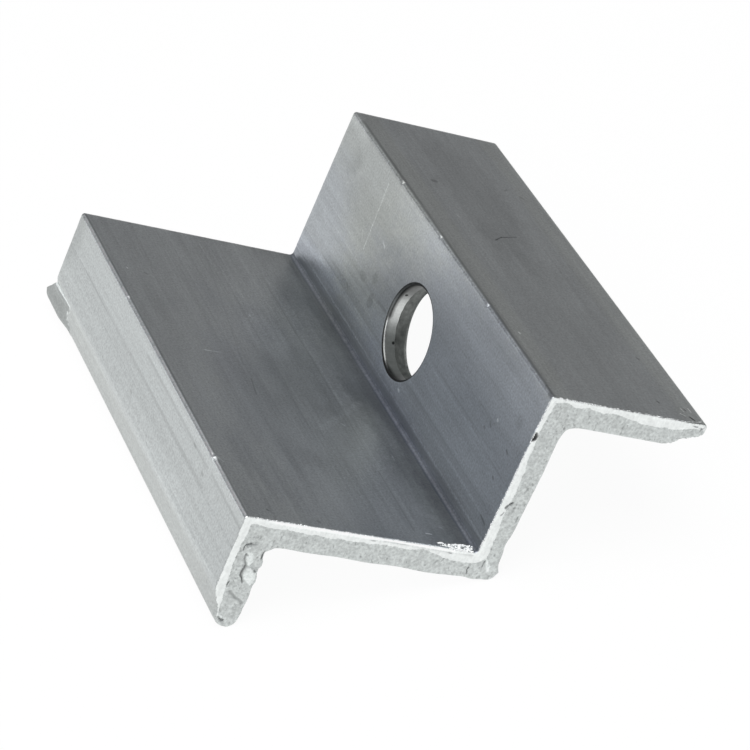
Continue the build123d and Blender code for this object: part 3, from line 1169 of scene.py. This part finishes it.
    def add_hole(self, data: MeshData, shell: Array, y: Array) -> None:
        """Fill the windows round the hole and join them by the hole's wall.

        Args:
            data: where the faces go.
            shell: the shell's vertices by sample and station.
            y: each station's y on the flange.
        """
        hole = BoltHole(self.section)
        rows = hole.rings()
        wall = []
        for radii, depths, torn in rows:
            points = np.column_stack([self.section.seat_depth + depths, hole.circle(radii)])
            deep = float(np.max(depths)) / hole.rollover
            # The torn rings are marked for the torn finish; the rolled rim is marked for painted shade, twice over near
            # the face.
            wall.append(data.add_points(points, dark=torn, dull=float(deep <= 1) + float(deep < hole.painted_shade_rim)))
        for near, far in zip(wall[:-1], wall[1:]):
            data.add_faces(np.stack([near, np.roll(near, -1), np.roll(far, -1), far], axis=1), Finish.PUNCHED)
        back = self.section.seat_depth + self.section.wall
        planes = ((Face.SEAT, self.section.seat_depth, -1), (Face.FLANGE_BACK, back, 1))
        for window, plane, rim, row in zip(self.windows(y), planes, (wall[0], wall[-1]), (rows[0], rows[-1])):
            self.fill_window(data, shell, y, window, plane, hole, rim, float(row[0][0]))

    def fill_window(self, data: MeshData, shell: Array, y: Array, window: Window,
                    plane: tuple[Face, float, int], hole: BoltHole, rim: Array, radius: float) -> None:
        """Fill the flange between one window and one rim of the hole.

        Args:
            data: where the faces go.
            shell: the shell's vertices by sample and station.
            y: each station's y on the flange.
            window: the part that is cut out.
            plane: the face, its level u and which way is out.
            hole: the hole.
            rim: the rim's vertices.
            radius: the rim's radius.
        """
        i0, i1, j0, j1 = window
        side, level, outwards = plane
        border = [(i, j0) for i in range(i0, i1)] + [(i1, j) for j in range(j0, j1)]
        border += [(i, j1) for i in range(i1, i0, -1)] + [(i0, j) for j in range(j1, j0, -1)]
        outer = np.array([(self.plain.place[i], y[j]) for i, j in border])
        across = self.plain.place[i0 + 1:i1]
        grid = np.array([(a, b) for a in across for b in np.linspace(y[j0], y[j1], self.window_columns)[1:-1]])
        grid = grid[np.hypot(*(grid - hole.centre).T) > radius + self.collar_end]
        inner = np.vstack([hole.circle(radius + gap) for gap in self.collar] + [grid])
        height = level + outwards * die_relief(side, inner[:, 0], inner[:, 1])
        fresh = data.add_points(np.column_stack([height, inner]))
        index = np.concatenate([[shell[i, j] for i, j in border], rim, fresh])
        data.add_faces(index[triangulate([outer, hole.circle(radius)], inner)], Finish.DRAWN)

    def add_end(self, data: MeshData, end: SawnEnd, rim: Array, ring: Array,
                height: Callable[[Array, Array], dict[str, Array]], pitch: float) -> None:
        """Fill one end inside the shell's first or last ring.

        Args:
            data: where the faces go.
            end: the sawn ends.
            rim: the ring's vertices.
            ring: the ring's section points (u, v).
            height: gives y and the finish values of the end at section points.
            pitch: spacing of the points inside.
        """
        inner = end.lattice(ring, pitch)
        made = height(inner, ring)
        fresh = data.add_points(np.column_stack([inner, made.pop("y")]), **made)
        data.add_faces(np.concatenate([rim, fresh])[triangulate([ring], inner)], Finish.SAWN)

    def to_object(self, data: MeshData, placing: Placing, finishes: list[bpy.types.Material]) -> bpy.types.Object:
        """Turn the collected data into a mesh in row-frame metres.

        Args:
            data: the points, values and faces.
            placing: where the section lies.
            finishes: the materials, in the order of Finish.

        Returns:
            The object.
        """
        mesh = bpy.data.meshes.new("clamp_body")
        mesh.from_pydata(placing.world(np.vstack(data.points)).tolist(), [], data.faces)
        mesh.polygons.foreach_set("material_index", data.finish)
        for name, parts in data.values.items():
            layer = mesh.attributes.new(name, "FLOAT", "POINT")
            layer.data.foreach_set("value", np.concatenate(parts).astype(np.float32))
        for material in finishes:
            mesh.materials.append(material)
        clamp = new_object("clamp_body", mesh)
        keep_in_box(mesh)
        face_outwards(mesh)
        return clamp


def wave(y: Array, k: int, size: float, length: float, phase: float) -> Array:
    """Return a wave along the extrusion whose phase goes by a die line's number."""
    return size * np.sin(y / length + phase * k)


def die_relief(face: Face, place: Array, y: Array) -> Array:
    """Work out the relief of a face's die lines.

    Args:
        face: the face.
        place: places across it.
        y: places along the extrusion.

    Returns:
        How far each place stands out of the plane.
    """
    height = np.zeros(np.broadcast(place, y).shape)
    for k, line in enumerate(DIE_LINES):
        if line.face == face:
            swing = 1 + wave(y, k, *SWING)
            away = np.abs(place - line.place - wave(y, k, *WANDER))
            height = height + line.height * swing * (1 - smooth(away, 0, line.width / 2))
    return height


def new_object(name: str, data: bpy.types.ID) -> bpy.types.Object:
    """Make an object and link it to the scene.

    Args:
        name: its name.
        data: its mesh, camera or light.

    Returns:
        The object.
    """
    made = bpy.data.objects.new(name, data)
    bpy.context.scene.collection.objects.link(made)
    return made


def keep_in_box(mesh: bpy.types.Mesh) -> None:
    """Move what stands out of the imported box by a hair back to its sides.

    Args:
        mesh: the mesh.
    """
    places = np.empty(len(mesh.vertices) * 3)
    mesh.vertices.foreach_get("co", places)
    places = np.clip(places.reshape(-1, 3), np.array(CAD_BOX[0]) + BOX_GAP, np.array(CAD_BOX[1]) - BOX_GAP)
    mesh.vertices.foreach_set("co", places.ravel())


def face_outwards(mesh: bpy.types.Mesh) -> None:
    """Make all faces of a closed mesh point outwards, shaded smooth up to an angle.

    Args:
        mesh: the mesh.
    """
    bm = bmesh.new()
    bm.from_mesh(mesh)
    bmesh.ops.recalc_face_normals(bm, faces=bm.faces)
    open_edges = sum(1 for e in bm.edges if len(e.link_faces) != 2)
    volume = bm.calc_volume() / MM ** 3
    log.info("%s: %d vertices, %d open edges, %.1f mm3", mesh.name, len(bm.verts), open_edges, volume)
    bm.to_mesh(mesh)
    bm.free()
    mesh.polygons.foreach_set("use_smooth", [True] * len(mesh.polygons))
    mesh.set_sharp_from_angle(angle=math.radians(SHARP_ANGLE))


class Net:
    """A node tree that is filled from code."""

    def __init__(self, tree: bpy.types.NodeTree) -> None:
        """Take over a tree and empty it."""
        self.tree = tree
        tree.nodes.clear()

    def node(self, kind: str, settings: dict | None = None, values: dict | None = None, out: int | str = 0) -> "Wire":
        """Add one node.

        Args:
            kind: the node's type.
            settings: its properties by name.
            values: its inputs by name or index, each a number, a tuple, a data-block or a wire.
            out: the output that is returned.

        Returns:
            A wire from that output.
        """
        made = self.tree.nodes.new(kind)
        for key, value in (settings or {}).items():
            setattr(made, key, value)
        for key, value in (values or {}).items():
            if isinstance(value, Wire):
                self.tree.links.new(value.socket, made.inputs[key])
            else:
                made.inputs[key].default_value = value
        return Wire(self, made.outputs[out] if made.outputs else None)

    def noise(self, vector: "Wire", scale: float, detail: float, stretch: Point | None = None) -> "Wire":
        """Return a noise that swings about 0, on a vector that may be stretched first."""
        vector = vector.vector("MULTIPLY", stretch) if stretch else vector
        return self.node("ShaderNodeTexNoise", values={"Vector": vector, "Scale": scale, "Detail": detail}) - 0.5

    def triple(self, *values: "Wire | float") -> "Wire":
        """Return a vector or colour made of three values."""
        return self.node("ShaderNodeCombineXYZ", values=dict(enumerate(values)))

    def blend(self, low: "Wire | tuple", high: "Wire | tuple", share: "Wire") -> "Wire":
        """Mix two colours."""
        return self.node("ShaderNodeMix", {"data_type": "RGBA"}, {0: share, 6: low, 7: high}, 2)


@dataclass(frozen=True)
class Wire:
    """An output in a node tree, with arithmetic that adds the nodes it needs."""

    net: Net
    socket: bpy.types.NodeSocket | None

    def math(self, operation: str, *others: "Wire | float") -> "Wire":
        """Apply a scalar operation."""
        return self.net.node("ShaderNodeMath", {"operation": operation}, dict(enumerate((self, *others))))

    def vector(self, operation: str, other: "Wire | tuple | None" = None, out: int | str = 0) -> "Wire":
        """Apply a vector operation."""
        values = {0: self} if other is None else {0: self, 1: other}
        return self.net.node("ShaderNodeVectorMath", {"operation": operation}, values, out)

    def clamped(self) -> "Wire":
        """Return the value, held between 0 and 1."""
        return self.math("MAXIMUM", 0.0).math("MINIMUM", 1.0)

    def __add__(self, other: "Wire | float") -> "Wire":
        """Return the sum."""
        return self.math("ADD", other)

    def __sub__(self, other: "Wire | float") -> "Wire":
        """Return the difference."""
        return self.math("SUBTRACT", other)

    def __mul__(self, other: "Wire | float") -> "Wire":
        """Return the product."""
        return self.math("MULTIPLY", other)

    def __rsub__(self, other: float) -> "Wire":
        """Return a number less the value."""
        return self * -1.0 + other

    __radd__ = __add__
    __rmul__ = __mul__

    def rise(self, low: float, high: float) -> "Wire":
        """Return 0 at low, 1 at high and a smooth rise between them; low may be above high."""
        values = {"Value": self, "From Min": low, "From Max": high}
        return self.net.node("ShaderNodeMapRange", {"interpolation_type": "SMOOTHSTEP"}, values)

    def scaled(self, by: "Wire | float") -> "Wire":
        """Return a vector or colour times a number."""
        return self.net.node("ShaderNodeVectorMath", {"operation": "SCALE"}, {0: self, "Scale": by})


@dataclass(frozen=True)
class Surface:
    """What every finish of the clamp shares: its coordinates, marks and metal."""

    placing: Placing
    colour: Point = (0.546, 0.573, 0.564)
    line_edge: Pair = (0.8, 0.2)
    patch_edge: Pair = (1.1, 0.55)
    unevenness: float = 1.6

    def start(self, name: str) -> tuple[bpy.types.Material, Net, Wire]:
        """Return a new material, its emptied tree and the place on the clamp."""
        material, net = new_net(name)
        return material, net, self.section_point(net)

    def section_point(self, net: Net) -> Wire:
        """Add the nodes that find the place in the section.

        Args:
            net: the material's tree.

        Returns:
            The vector (u, y, v) in millimetres.
        """
        turn = Matrix.Rotation(-self.placing.tilt, 3, "Y")
        shift = -(turn @ Vector(self.placing.origin)) / MM
        place = net.node("ShaderNodeTexCoord", out="Object")
        values = {"Vector": place, "Location": shift, "Rotation": (0, -self.placing.tilt, 0), "Scale": (1 / MM,) * 3}
        return net.node("ShaderNodeMapping", values=values)

    def value(self, net: Net, name: str) -> Wire:
        """Return one of the mesh's per-vertex values."""
        return net.node("ShaderNodeAttribute", {"attribute_name": name}, out="Fac")

    def scratch_or_painted_edge_light(self, point: Wire, mark: ScratchOrPaintedEdgeLight, uneven: Wire) -> Wire:
        """Add one fine line of tone; these are scratches, die lines and painted highlights and shade along edges.

        Args:
            point: the place in the section.
            mark: the line.
            uneven: noise that makes it uneven.

        Returns:
            Its tone, 0 away from it.
        """
        start = Vector((mark.start[0], mark.start[2], mark.start[1]))
        step = Vector((mark.end[0], mark.end[2], mark.end[1])) - start
        from_start = point.vector("SUBTRACT", tuple(start))
        share = from_start.vector("DOT_PRODUCT", tuple(step / step.length_squared), "Value")
        whole = point.net.triple(*step)
        away = from_start.vector("SUBTRACT", whole.scaled(share.clamped())).vector("LENGTH", out="Value")
        outer, inner = (mark.width * edge for edge in self.line_edge)
        return away.rise(outer, inner) * (uneven * (self.unevenness * mark.tone) + mark.tone)

    def stain_or_painted_light(self, point: Wire, mark: StainOrPaintedLight, ragged: Wire) -> Wire:
        """Add one soft patch of tone; these are stains, painted light and shade, and painted reflection tints.

        Args:
            point: the place in the section.
            mark: the patch.
            ragged: noise that frays its edge.

        Returns:
            Its tone, 0 away from it.
        """
        (u, v, y), (ru, rv, ry) = mark.centre, mark.reach
        near = point.vector("SUBTRACT", (u, y, v)).vector("DIVIDE", (ru, ry, rv))
        return (near.vector("LENGTH", out="Value") + ragged).rise(*self.patch_edge) * mark.tone

    def finish(self, net: Net, colour: Wire, metallic: Wire | float, roughness: Wire, height: Wire) -> None:
        """Close a metal's tree.

        Args:
            net: the material's tree.
            colour: its colour.
            metallic: how much of it is bare metal.
            roughness: its roughness.
            height: its fine relief, in millimetres.
        """
        bump = net.node("ShaderNodeBump", values={"Strength": 1.0, "Distance": MM, "Height": height})
        values = {"Base Color": colour, "Metallic": metallic, "Roughness": roughness, "Normal": bump}
        metal = net.node("ShaderNodeBsdfPrincipled", values=values)
        net.node("ShaderNodeOutputMaterial", values={"Surface": metal})


def new_net(name: str) -> tuple[bpy.types.Material, Net]:
    """Make a material with an emptied tree.

    Args:
        name: its name.

    Returns:
        The material and its tree.
    """
    material = bpy.data.materials.new(name)
    material.use_nodes = True
    return material, Net(material.node_tree)


@dataclass(frozen=True)
class DrawnFinish:
    """Mill finish: streaks along the extrusion, clouds, grain, stains and scratches, with painted light and shade,
    painted highlights on dents and edges and a painted cool reflection tint.
    """

    surface: Surface
    roughness: float = 0.41
    drawn_out: float = 0.02

    def build(self) -> bpy.types.Material:
        """Build the material.

        Returns:
            The material.
        """
        surface = self.surface
        material, net, point = surface.start("drawn_aluminium")
        along = point.vector("MULTIPLY", (1.0, self.drawn_out, 1.0))
        broad = net.noise(along, 0.8, 2.0)
        fine = net.noise(along, 3.6, 2.0)
        cloud = net.noise(point, 0.35, 3.0, (1.0, 0.4, 1.0))
        fleck = net.noise(point, 1.6, 2.0, (1.0, 0.6, 1.0))
        grain = net.noise(point, 5.5, 1.0, (1.0, 0.8, 1.0))
        tone = 1.0 + broad * 0.20 + fine * 0.26 + cloud * 0.14 + fleck * 0.14 + grain * 0.60
        ragged = cloud * 0.6 + fleck * 0.3
        # Painted reflection: the cool tint of the dark, bluish room mirrored in the faces.
        painted_cool_patches = [surface.stain_or_painted_light(point, mark, ragged) for mark in PAINTED_COOL_REFLECTION]
        # Stains and scratches, with painted light and shade in broad patches and along the rounded edges.
        marks = [surface.stain_or_painted_light(point, mark, ragged) for mark in STAINS_AND_PAINTED_LIGHT]
        marks += [surface.scratch_or_painted_edge_light(point, mark, grain * 0.8 + fleck) for mark in SCRATCHES_AND_PAINTED_EDGE_LIGHT]
        painted_cool_reflection, marks = (sum(wires[1:], wires[0]) for wires in (painted_cool_patches, marks))
        bright, dull = surface.value(net, "bright"), surface.value(net, "dull")
        # Painted shade darkens the remnant's face; painted highlights lighten the dents and its torn edge.
        tone = tone * (marks + 1.0) * (1.0 - dull * 0.14) + bright * 0.5
        painted_reflection_tint = net.triple(1.0 - painted_cool_reflection * 0.05, 1.0 - painted_cool_reflection * 0.035, 1.0 + painted_cool_reflection * 0.06)
        colour = painted_reflection_tint.vector("MULTIPLY", surface.colour).scaled(tone)
        roughness = fine * 0.10 + cloud * 0.10 + dull * 0.2 + self.roughness
        surface.finish(net, colour, 1.0 - bright * 0.85, roughness, fine * 0.006 + grain * 0.003)
        return material


@dataclass(frozen=True)
class SawnFinish:
    """Sawn end: torn grey metal inside a burnished, nearly white band along the shown edges, with painted highlights on
    the band's edge and the raised lobes and painted shade in the cracks and pits.
    """

    surface: Surface
    torn: Point = (0.668, 0.698, 0.688)
    burnished: Point = (0.845, 0.875, 0.865)

    def build(self) -> bpy.types.Material:
        """Build the material.

        Returns:
            The material.
        """
        surface = self.surface
        material, net, point = surface.start("sawn_aluminium")
        lumps, grain = net.noise(point, 1.2, 3.0), net.noise(point, 4.2, 2.0)
        drag = net.noise(point, 1.6, 2.0, (3.0, 1.0, 1.0))
        band = (surface.value(net, "band") + grain * 0.8 + lumps * 0.3).rise(0.35, 0.65)
        bright, dark = surface.value(net, "bright"), surface.value(net, "dark")
        speck = net.noise(point, 3.0, 1.0, (1.3, 1.0, 0.8)).rise(0.14, 0.25)
        # The painted highlights lighten the torn metal and the white band.
        tone = (1.02 + lumps * 0.22 + grain * 0.80 + drag * 0.20 + bright * 0.34) * (1.0 - speck * 0.26)
        torn = net.triple(*self.torn).scaled(tone)
        white = net.triple(*self.burnished).scaled(1.0 + lumps * 0.30 + drag * 0.22 + grain * 0.25 + bright * 0.2)
        # Painted shade in the cracks and pits.
        painted_crevice_shade = (dark + grain * 0.25).rise(0.10, 0.80) * 0.72 + dark.rise(1.0, 1.6) * 0.22
        colour = net.blend(torn, white, band).scaled(1.0 - painted_crevice_shade)
        roughness = 0.60 - band * 0.30 + painted_crevice_shade * 0.1
        relief = (lumps * 0.03 + grain * 0.022 - speck * 0.014) * (1.0 - band * 0.7)
        surface.finish(net, colour, 1.0 - painted_crevice_shade * 0.3, roughness, relief)
        return material


@dataclass(frozen=True)
class PunchedFinish:
    """Wall of the hole: a polished land where the punch went in, and a torn band behind it, with a painted highlight
    across the land's middle height, painted shade on the rolled rim and shade on the torn band's lower half.
    """

    surface: Surface
    land: Point = (0.70, 0.72, 0.71)
    torn: Point = (0.21, 0.22, 0.212)
    spots: tuple[StainOrPaintedLight, ...] = (StainOrPaintedLight((22.74, 8.3, 28.93), (0.19, 0.19, 0.19), -0.85),
                                 StainOrPaintedLight((23.06, 3.76, 28.12), (0.19, 0.19, 0.19), -0.85))

    def build(self) -> bpy.types.Material:
        """Build the material.

        Returns:
            The material.
        """
        surface = self.surface
        material, net, point = surface.start("punched_aluminium")
        drag = net.noise(point, 3.0, 3.0, (0.15, 1.0, 1.0))
        lumps, grain = net.noise(point, 2.2, 3.0), net.noise(point, 5.0, 1.0)
        height = net.node("ShaderNodeSeparateXYZ", values={0: point}, out="Z")
        torn = (surface.value(net, "dark") + lumps * 0.4).rise(0.35, 0.65)
        # Painted highlight: the land is brightest at mid height and darker above and below.
        painted_land_highlight = 0.30 + height.rise(8.9, 6.9) * height.rise(3.4, 6.4) * 0.70
        # Painted shade on the rolled rim, left out low on the hole where the rim shows a light crescent.
        rim = (surface.value(net, "dull") - height.rise(5.9, 5.3) * height.rise(2.3, 2.8)).clamped()
        shade = 1.0 - height.rise(6.4, 4.0) * 0.32
        tone = painted_land_highlight * (1.0 + drag * 0.3 + grain * 0.3)
        for spot in self.spots:
            tone = tone * (1.0 + surface.stain_or_painted_light(point, spot, grain))
        land = net.triple(*self.land).scaled(tone)
        rough = net.triple(*self.torn).scaled((1.0 + lumps * 1.3) * shade)
        colour = net.blend(land, rough, torn).scaled(1.0 - rim * 0.78)
        roughness = torn * 0.18 + drag * 0.12 + 0.40
        surface.finish(net, colour, 1.0, roughness, drag * 0.010 + lumps * torn * 0.05)
        return material


@dataclass(frozen=True)
class BurrFinish:
    """Bright torn slivers along the sawn edges."""

    surface: Surface
    colour: Point = (0.93, 0.95, 0.94)

    def build(self) -> bpy.types.Material:
        """Build the material.

        Returns:
            The material.
        """
        material, net, point = self.surface.start("burr_aluminium")
        grain = net.noise(point, 6.0, 2.0)
        colour = net.triple(*self.colour).scaled(1.0 + grain * 0.3)
        self.surface.finish(net, colour, 0.2, grain * 0.1 + 0.5, grain * 0.01)
        return material


@dataclass(frozen=True)
class SawBurrs:
    """Slivers of metal that the saw left standing along a path."""

    name: str
    paths: tuple[tuple[Point, ...], ...]
    count: int
    size: float
    spread: float
    flatness: float
    seed: int
    turns: Point = (0.5, 0.6, 3.14)
    growth: Pair = (0.35, 1.6)

    def tree(self) -> bpy.types.NodeTree:
        """Build the node group that scatters slivers along the paths.

        Returns:
            The node group.
        """
        group = bpy.data.node_groups.new(self.name, "GeometryNodeTree")
        sockets = (("Geometry", "NodeSocketGeometry"), ("Count", "NodeSocketInt"), ("Size", "NodeSocketFloat"),
                   ("Spread", "NodeSocketFloat"), ("Flatness", "NodeSocketFloat"), ("Seed", "NodeSocketInt"),
                   ("Material", "NodeSocketMaterial"))
        for name, kind in sockets:
            group.interface.new_socket(name, in_out="INPUT", socket_type=kind)
        group.interface.new_socket("Geometry", in_out="OUTPUT", socket_type="NodeSocketGeometry")
        net = Net(group)
        given = {name: net.node("NodeGroupInput", out=name) for name, _ in sockets}
        curve = net.node("GeometryNodeMeshToCurve", values={"Mesh": given["Geometry"]})
        points = net.node("GeometryNodeCurveToPoints", {"mode": "COUNT"}, {"Curve": curve, "Count": given["Count"]})
        random = {"data_type": "FLOAT_VECTOR"}
        jump = {"Min": (-1.0, -1.0, -1.0), "Max": (1.0, 1.0, 1.0), "Seed": given["Seed"]}
        jump = net.node("FunctionNodeRandomValue", random, jump).scaled(given["Spread"])
        points = net.node("GeometryNodeSetPosition", values={"Geometry": points, "Offset": jump})
        sliver = net.node("GeometryNodeMeshCone", values={"Vertices": 5, "Radius Bottom": 0.35, "Depth": 1.0})
        turn = {"Min": tuple(-a for a in self.turns), "Max": self.turns, "Seed": given["Seed"] + 1.0}
        turn = net.node("FunctionNodeRandomValue", random, turn)
        grown = {2: self.growth[0], 3: self.growth[1], "Seed": given["Seed"] + 2.0}
        grown = net.node("FunctionNodeRandomValue", {"data_type": "FLOAT"}, grown, 1) * given["Size"]
        scale = net.triple(grown * 1.5, grown, grown * given["Flatness"])
        placed = {"Points": points, "Instance": sliver, "Rotation": turn, "Scale": scale}
        placed = net.node("GeometryNodeInstanceOnPoints", values=placed)
        real = net.node("GeometryNodeRealizeInstances", values={"Geometry": placed})
        shown = net.node("GeometryNodeSetMaterial", values={"Geometry": real, "Material": given["Material"]})
        net.node("NodeGroupOutput", values={"Geometry": shown})
        return group

    def build(self, placing: Placing, material: bpy.types.Material) -> bpy.types.Object:
        """Build the slivers as a plain mesh.

        Args:
            placing: where the section lies.
            material: their finish.

        Returns:
            The object.
        """
        corners, edges = [], []
        for path in self.paths:
            edges += [(len(corners) + k, len(corners) + k + 1) for k in range(len(path) - 1)]
            corners += path
        mesh = bpy.data.meshes.new(self.name)
        mesh.from_pydata(placing.world(np.array(corners)).tolist(), edges, [])
        piece = new_object(self.name, mesh)
        group = self.tree()
        modifier = piece.modifiers.new(self.name, "NODES")
        modifier.node_group = group
        values = {"Count": self.count, "Size": self.size * MM, "Spread": self.spread * MM, "Flatness": self.flatness,
                  "Seed": self.seed, "Material": material}
        for item in group.interface.items_tree:
            if item.in_out == "INPUT" and item.name in values:
                modifier[item.identifier] = values[item.name]
        shown = piece.evaluated_get(bpy.context.evaluated_depsgraph_get())
        piece.data = bpy.data.meshes.new_from_object(shown)
        piece.modifiers.clear()
        keep_in_box(piece.data)
        face_outwards(piece.data)
        return piece


@dataclass(frozen=True)
class Studio:
    """Pale floor, soft lamps and the camera."""

    placing: Placing
    target: Point = (20.35, 2.24, 24.26)
    distance: float = 0.30901
    azimuth: float = 20.833
    dip: float = 33.244
    roll: float = 2.802
    lens: float = 167.07
    floor_size: float = 4.0
    floor_white: float = 0.95
    floor_glow: float = 0.95
    room: Point = (0.190, 0.190, 0.203)
    lamps: tuple[tuple[str, Point, float, float], ...] = (("overhead", (-0.1, -0.1, 0.8), 0.7, 6.0),
                                                          ("front_left", (-0.55, -0.45, 0.45), 0.4, 2.0))

    def camera(self) -> None:
        """Add the camera at the photograph's viewing angle."""
        az, dip, roll = (math.radians(a) for a in (self.azimuth, self.dip, self.roll))
        look = Vector((math.sin(az) * math.cos(dip), math.cos(az) * math.cos(dip), -math.sin(dip)))
        level = look.cross(Vector((0, 0, 1))).normalized()
        rise = level.cross(look)
        right = math.cos(roll) * level + math.sin(roll) * rise
        up = math.cos(roll) * rise - math.sin(roll) * level
        data = bpy.data.cameras.new("camera")
        data.lens = self.lens
        data.sensor_width = 36
        data.clip_start = 0.01
        camera = new_object("camera", data)
        place = Vector(self.placing.world(np.array(self.target))[0]) - self.distance * look
        camera.matrix_world = Matrix.Translation(place) @ Matrix((right, up, -look)).transposed().to_4x4()
        bpy.context.scene.camera = camera

    def floor(self) -> None:
        """Add the floor, which a camera sees a little brighter than it is lit."""
        half = self.floor_size / 2
        mesh = bpy.data.meshes.new("floor")
        mesh.from_pydata([(-half, -half, 0), (half, -half, 0), (half, half, 0), (-half, half, 0)], [], [(0, 1, 2, 3)])
        floor = new_object("floor", mesh)
        material, net = new_net("paper")
        rays = [net.node("ShaderNodeLightPath", out=f"Is {kind} Ray") for kind in ("Camera", "Glossy", "Transmission")]
        seen = (rays[0] + rays[1] + rays[2]) * self.floor_glow
        paper = net.node("ShaderNodeBsdfDiffuse", values={"Color": (self.floor_white,) * 3 + (1,)})
        glow = net.node("ShaderNodeEmission")
        mixed = net.node("ShaderNodeMixShader", values={0: seen, 1: paper, 2: glow})
        net.node("ShaderNodeOutputMaterial", values={"Surface": mixed})
        mesh.materials.append(material)

    def lamp(self, name: str, place: Point, size: float, power: float) -> None:
        """Add one soft square lamp that faces the clamp.

        Args:
            name: its name.
            place: where it hangs, in metres.
            size: its side, in metres.
            power: its power, in watts.
        """
        data = bpy.data.lights.new(name, "AREA")
        data.shape = "SQUARE"
        data.size = size
        data.energy = power
        lamp = new_object(name, data)
        lamp.location = place
        lamp.rotation_euler = Vector(place).to_track_quat("Z", "Y").to_euler()

    def world(self) -> None:
        """Set the even light from all round."""
        world = bpy.data.worlds.new("room")
        bpy.context.scene.world = world
        world.use_nodes = True
        world.node_tree.nodes["Background"].inputs["Color"].default_value = (*self.room, 1)

    def build(self) -> None:
        """Add everything round the clamp."""
        self.camera()
        self.floor()
        self.world()
        for lamp in self.lamps:
            self.lamp(*lamp)
        bpy.context.scene.view_settings.view_transform = "Standard"


def main() -> None:
    """Build the clamp, its finishes and the studio."""
    logging.basicConfig(level=logging.INFO, format="%(message)s", stream=sys.stdout)
    section = Section()
    placing = Placing.from_frame(section)
    surface = Surface(placing)
    finishes = [finish(surface).build() for finish in (DrawnFinish, SawnFinish, PunchedFinish)]
    clamp = Clamp(section).build(placing, finishes)
    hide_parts(NODE)
    rim = SawBurrs("rim_burrs", RIM_PATHS, count=190, size=0.115, spread=0.03, flatness=0.5, seed=3)
    flakes = SawBurrs("edge_flakes", WEB_FLAKES, count=70, size=0.26, spread=0.07, flatness=0.3, seed=8)
    burr = BurrFinish(surface).build()
    for piece in (clamp, rim.build(placing, burr), flakes.build(placing, burr)):
        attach(piece, "root")
        log.info("%s: %d polygons", piece.name, len(piece.data.polygons))
    Studio(placing).build()


if __name__ == "__main__":
    main()
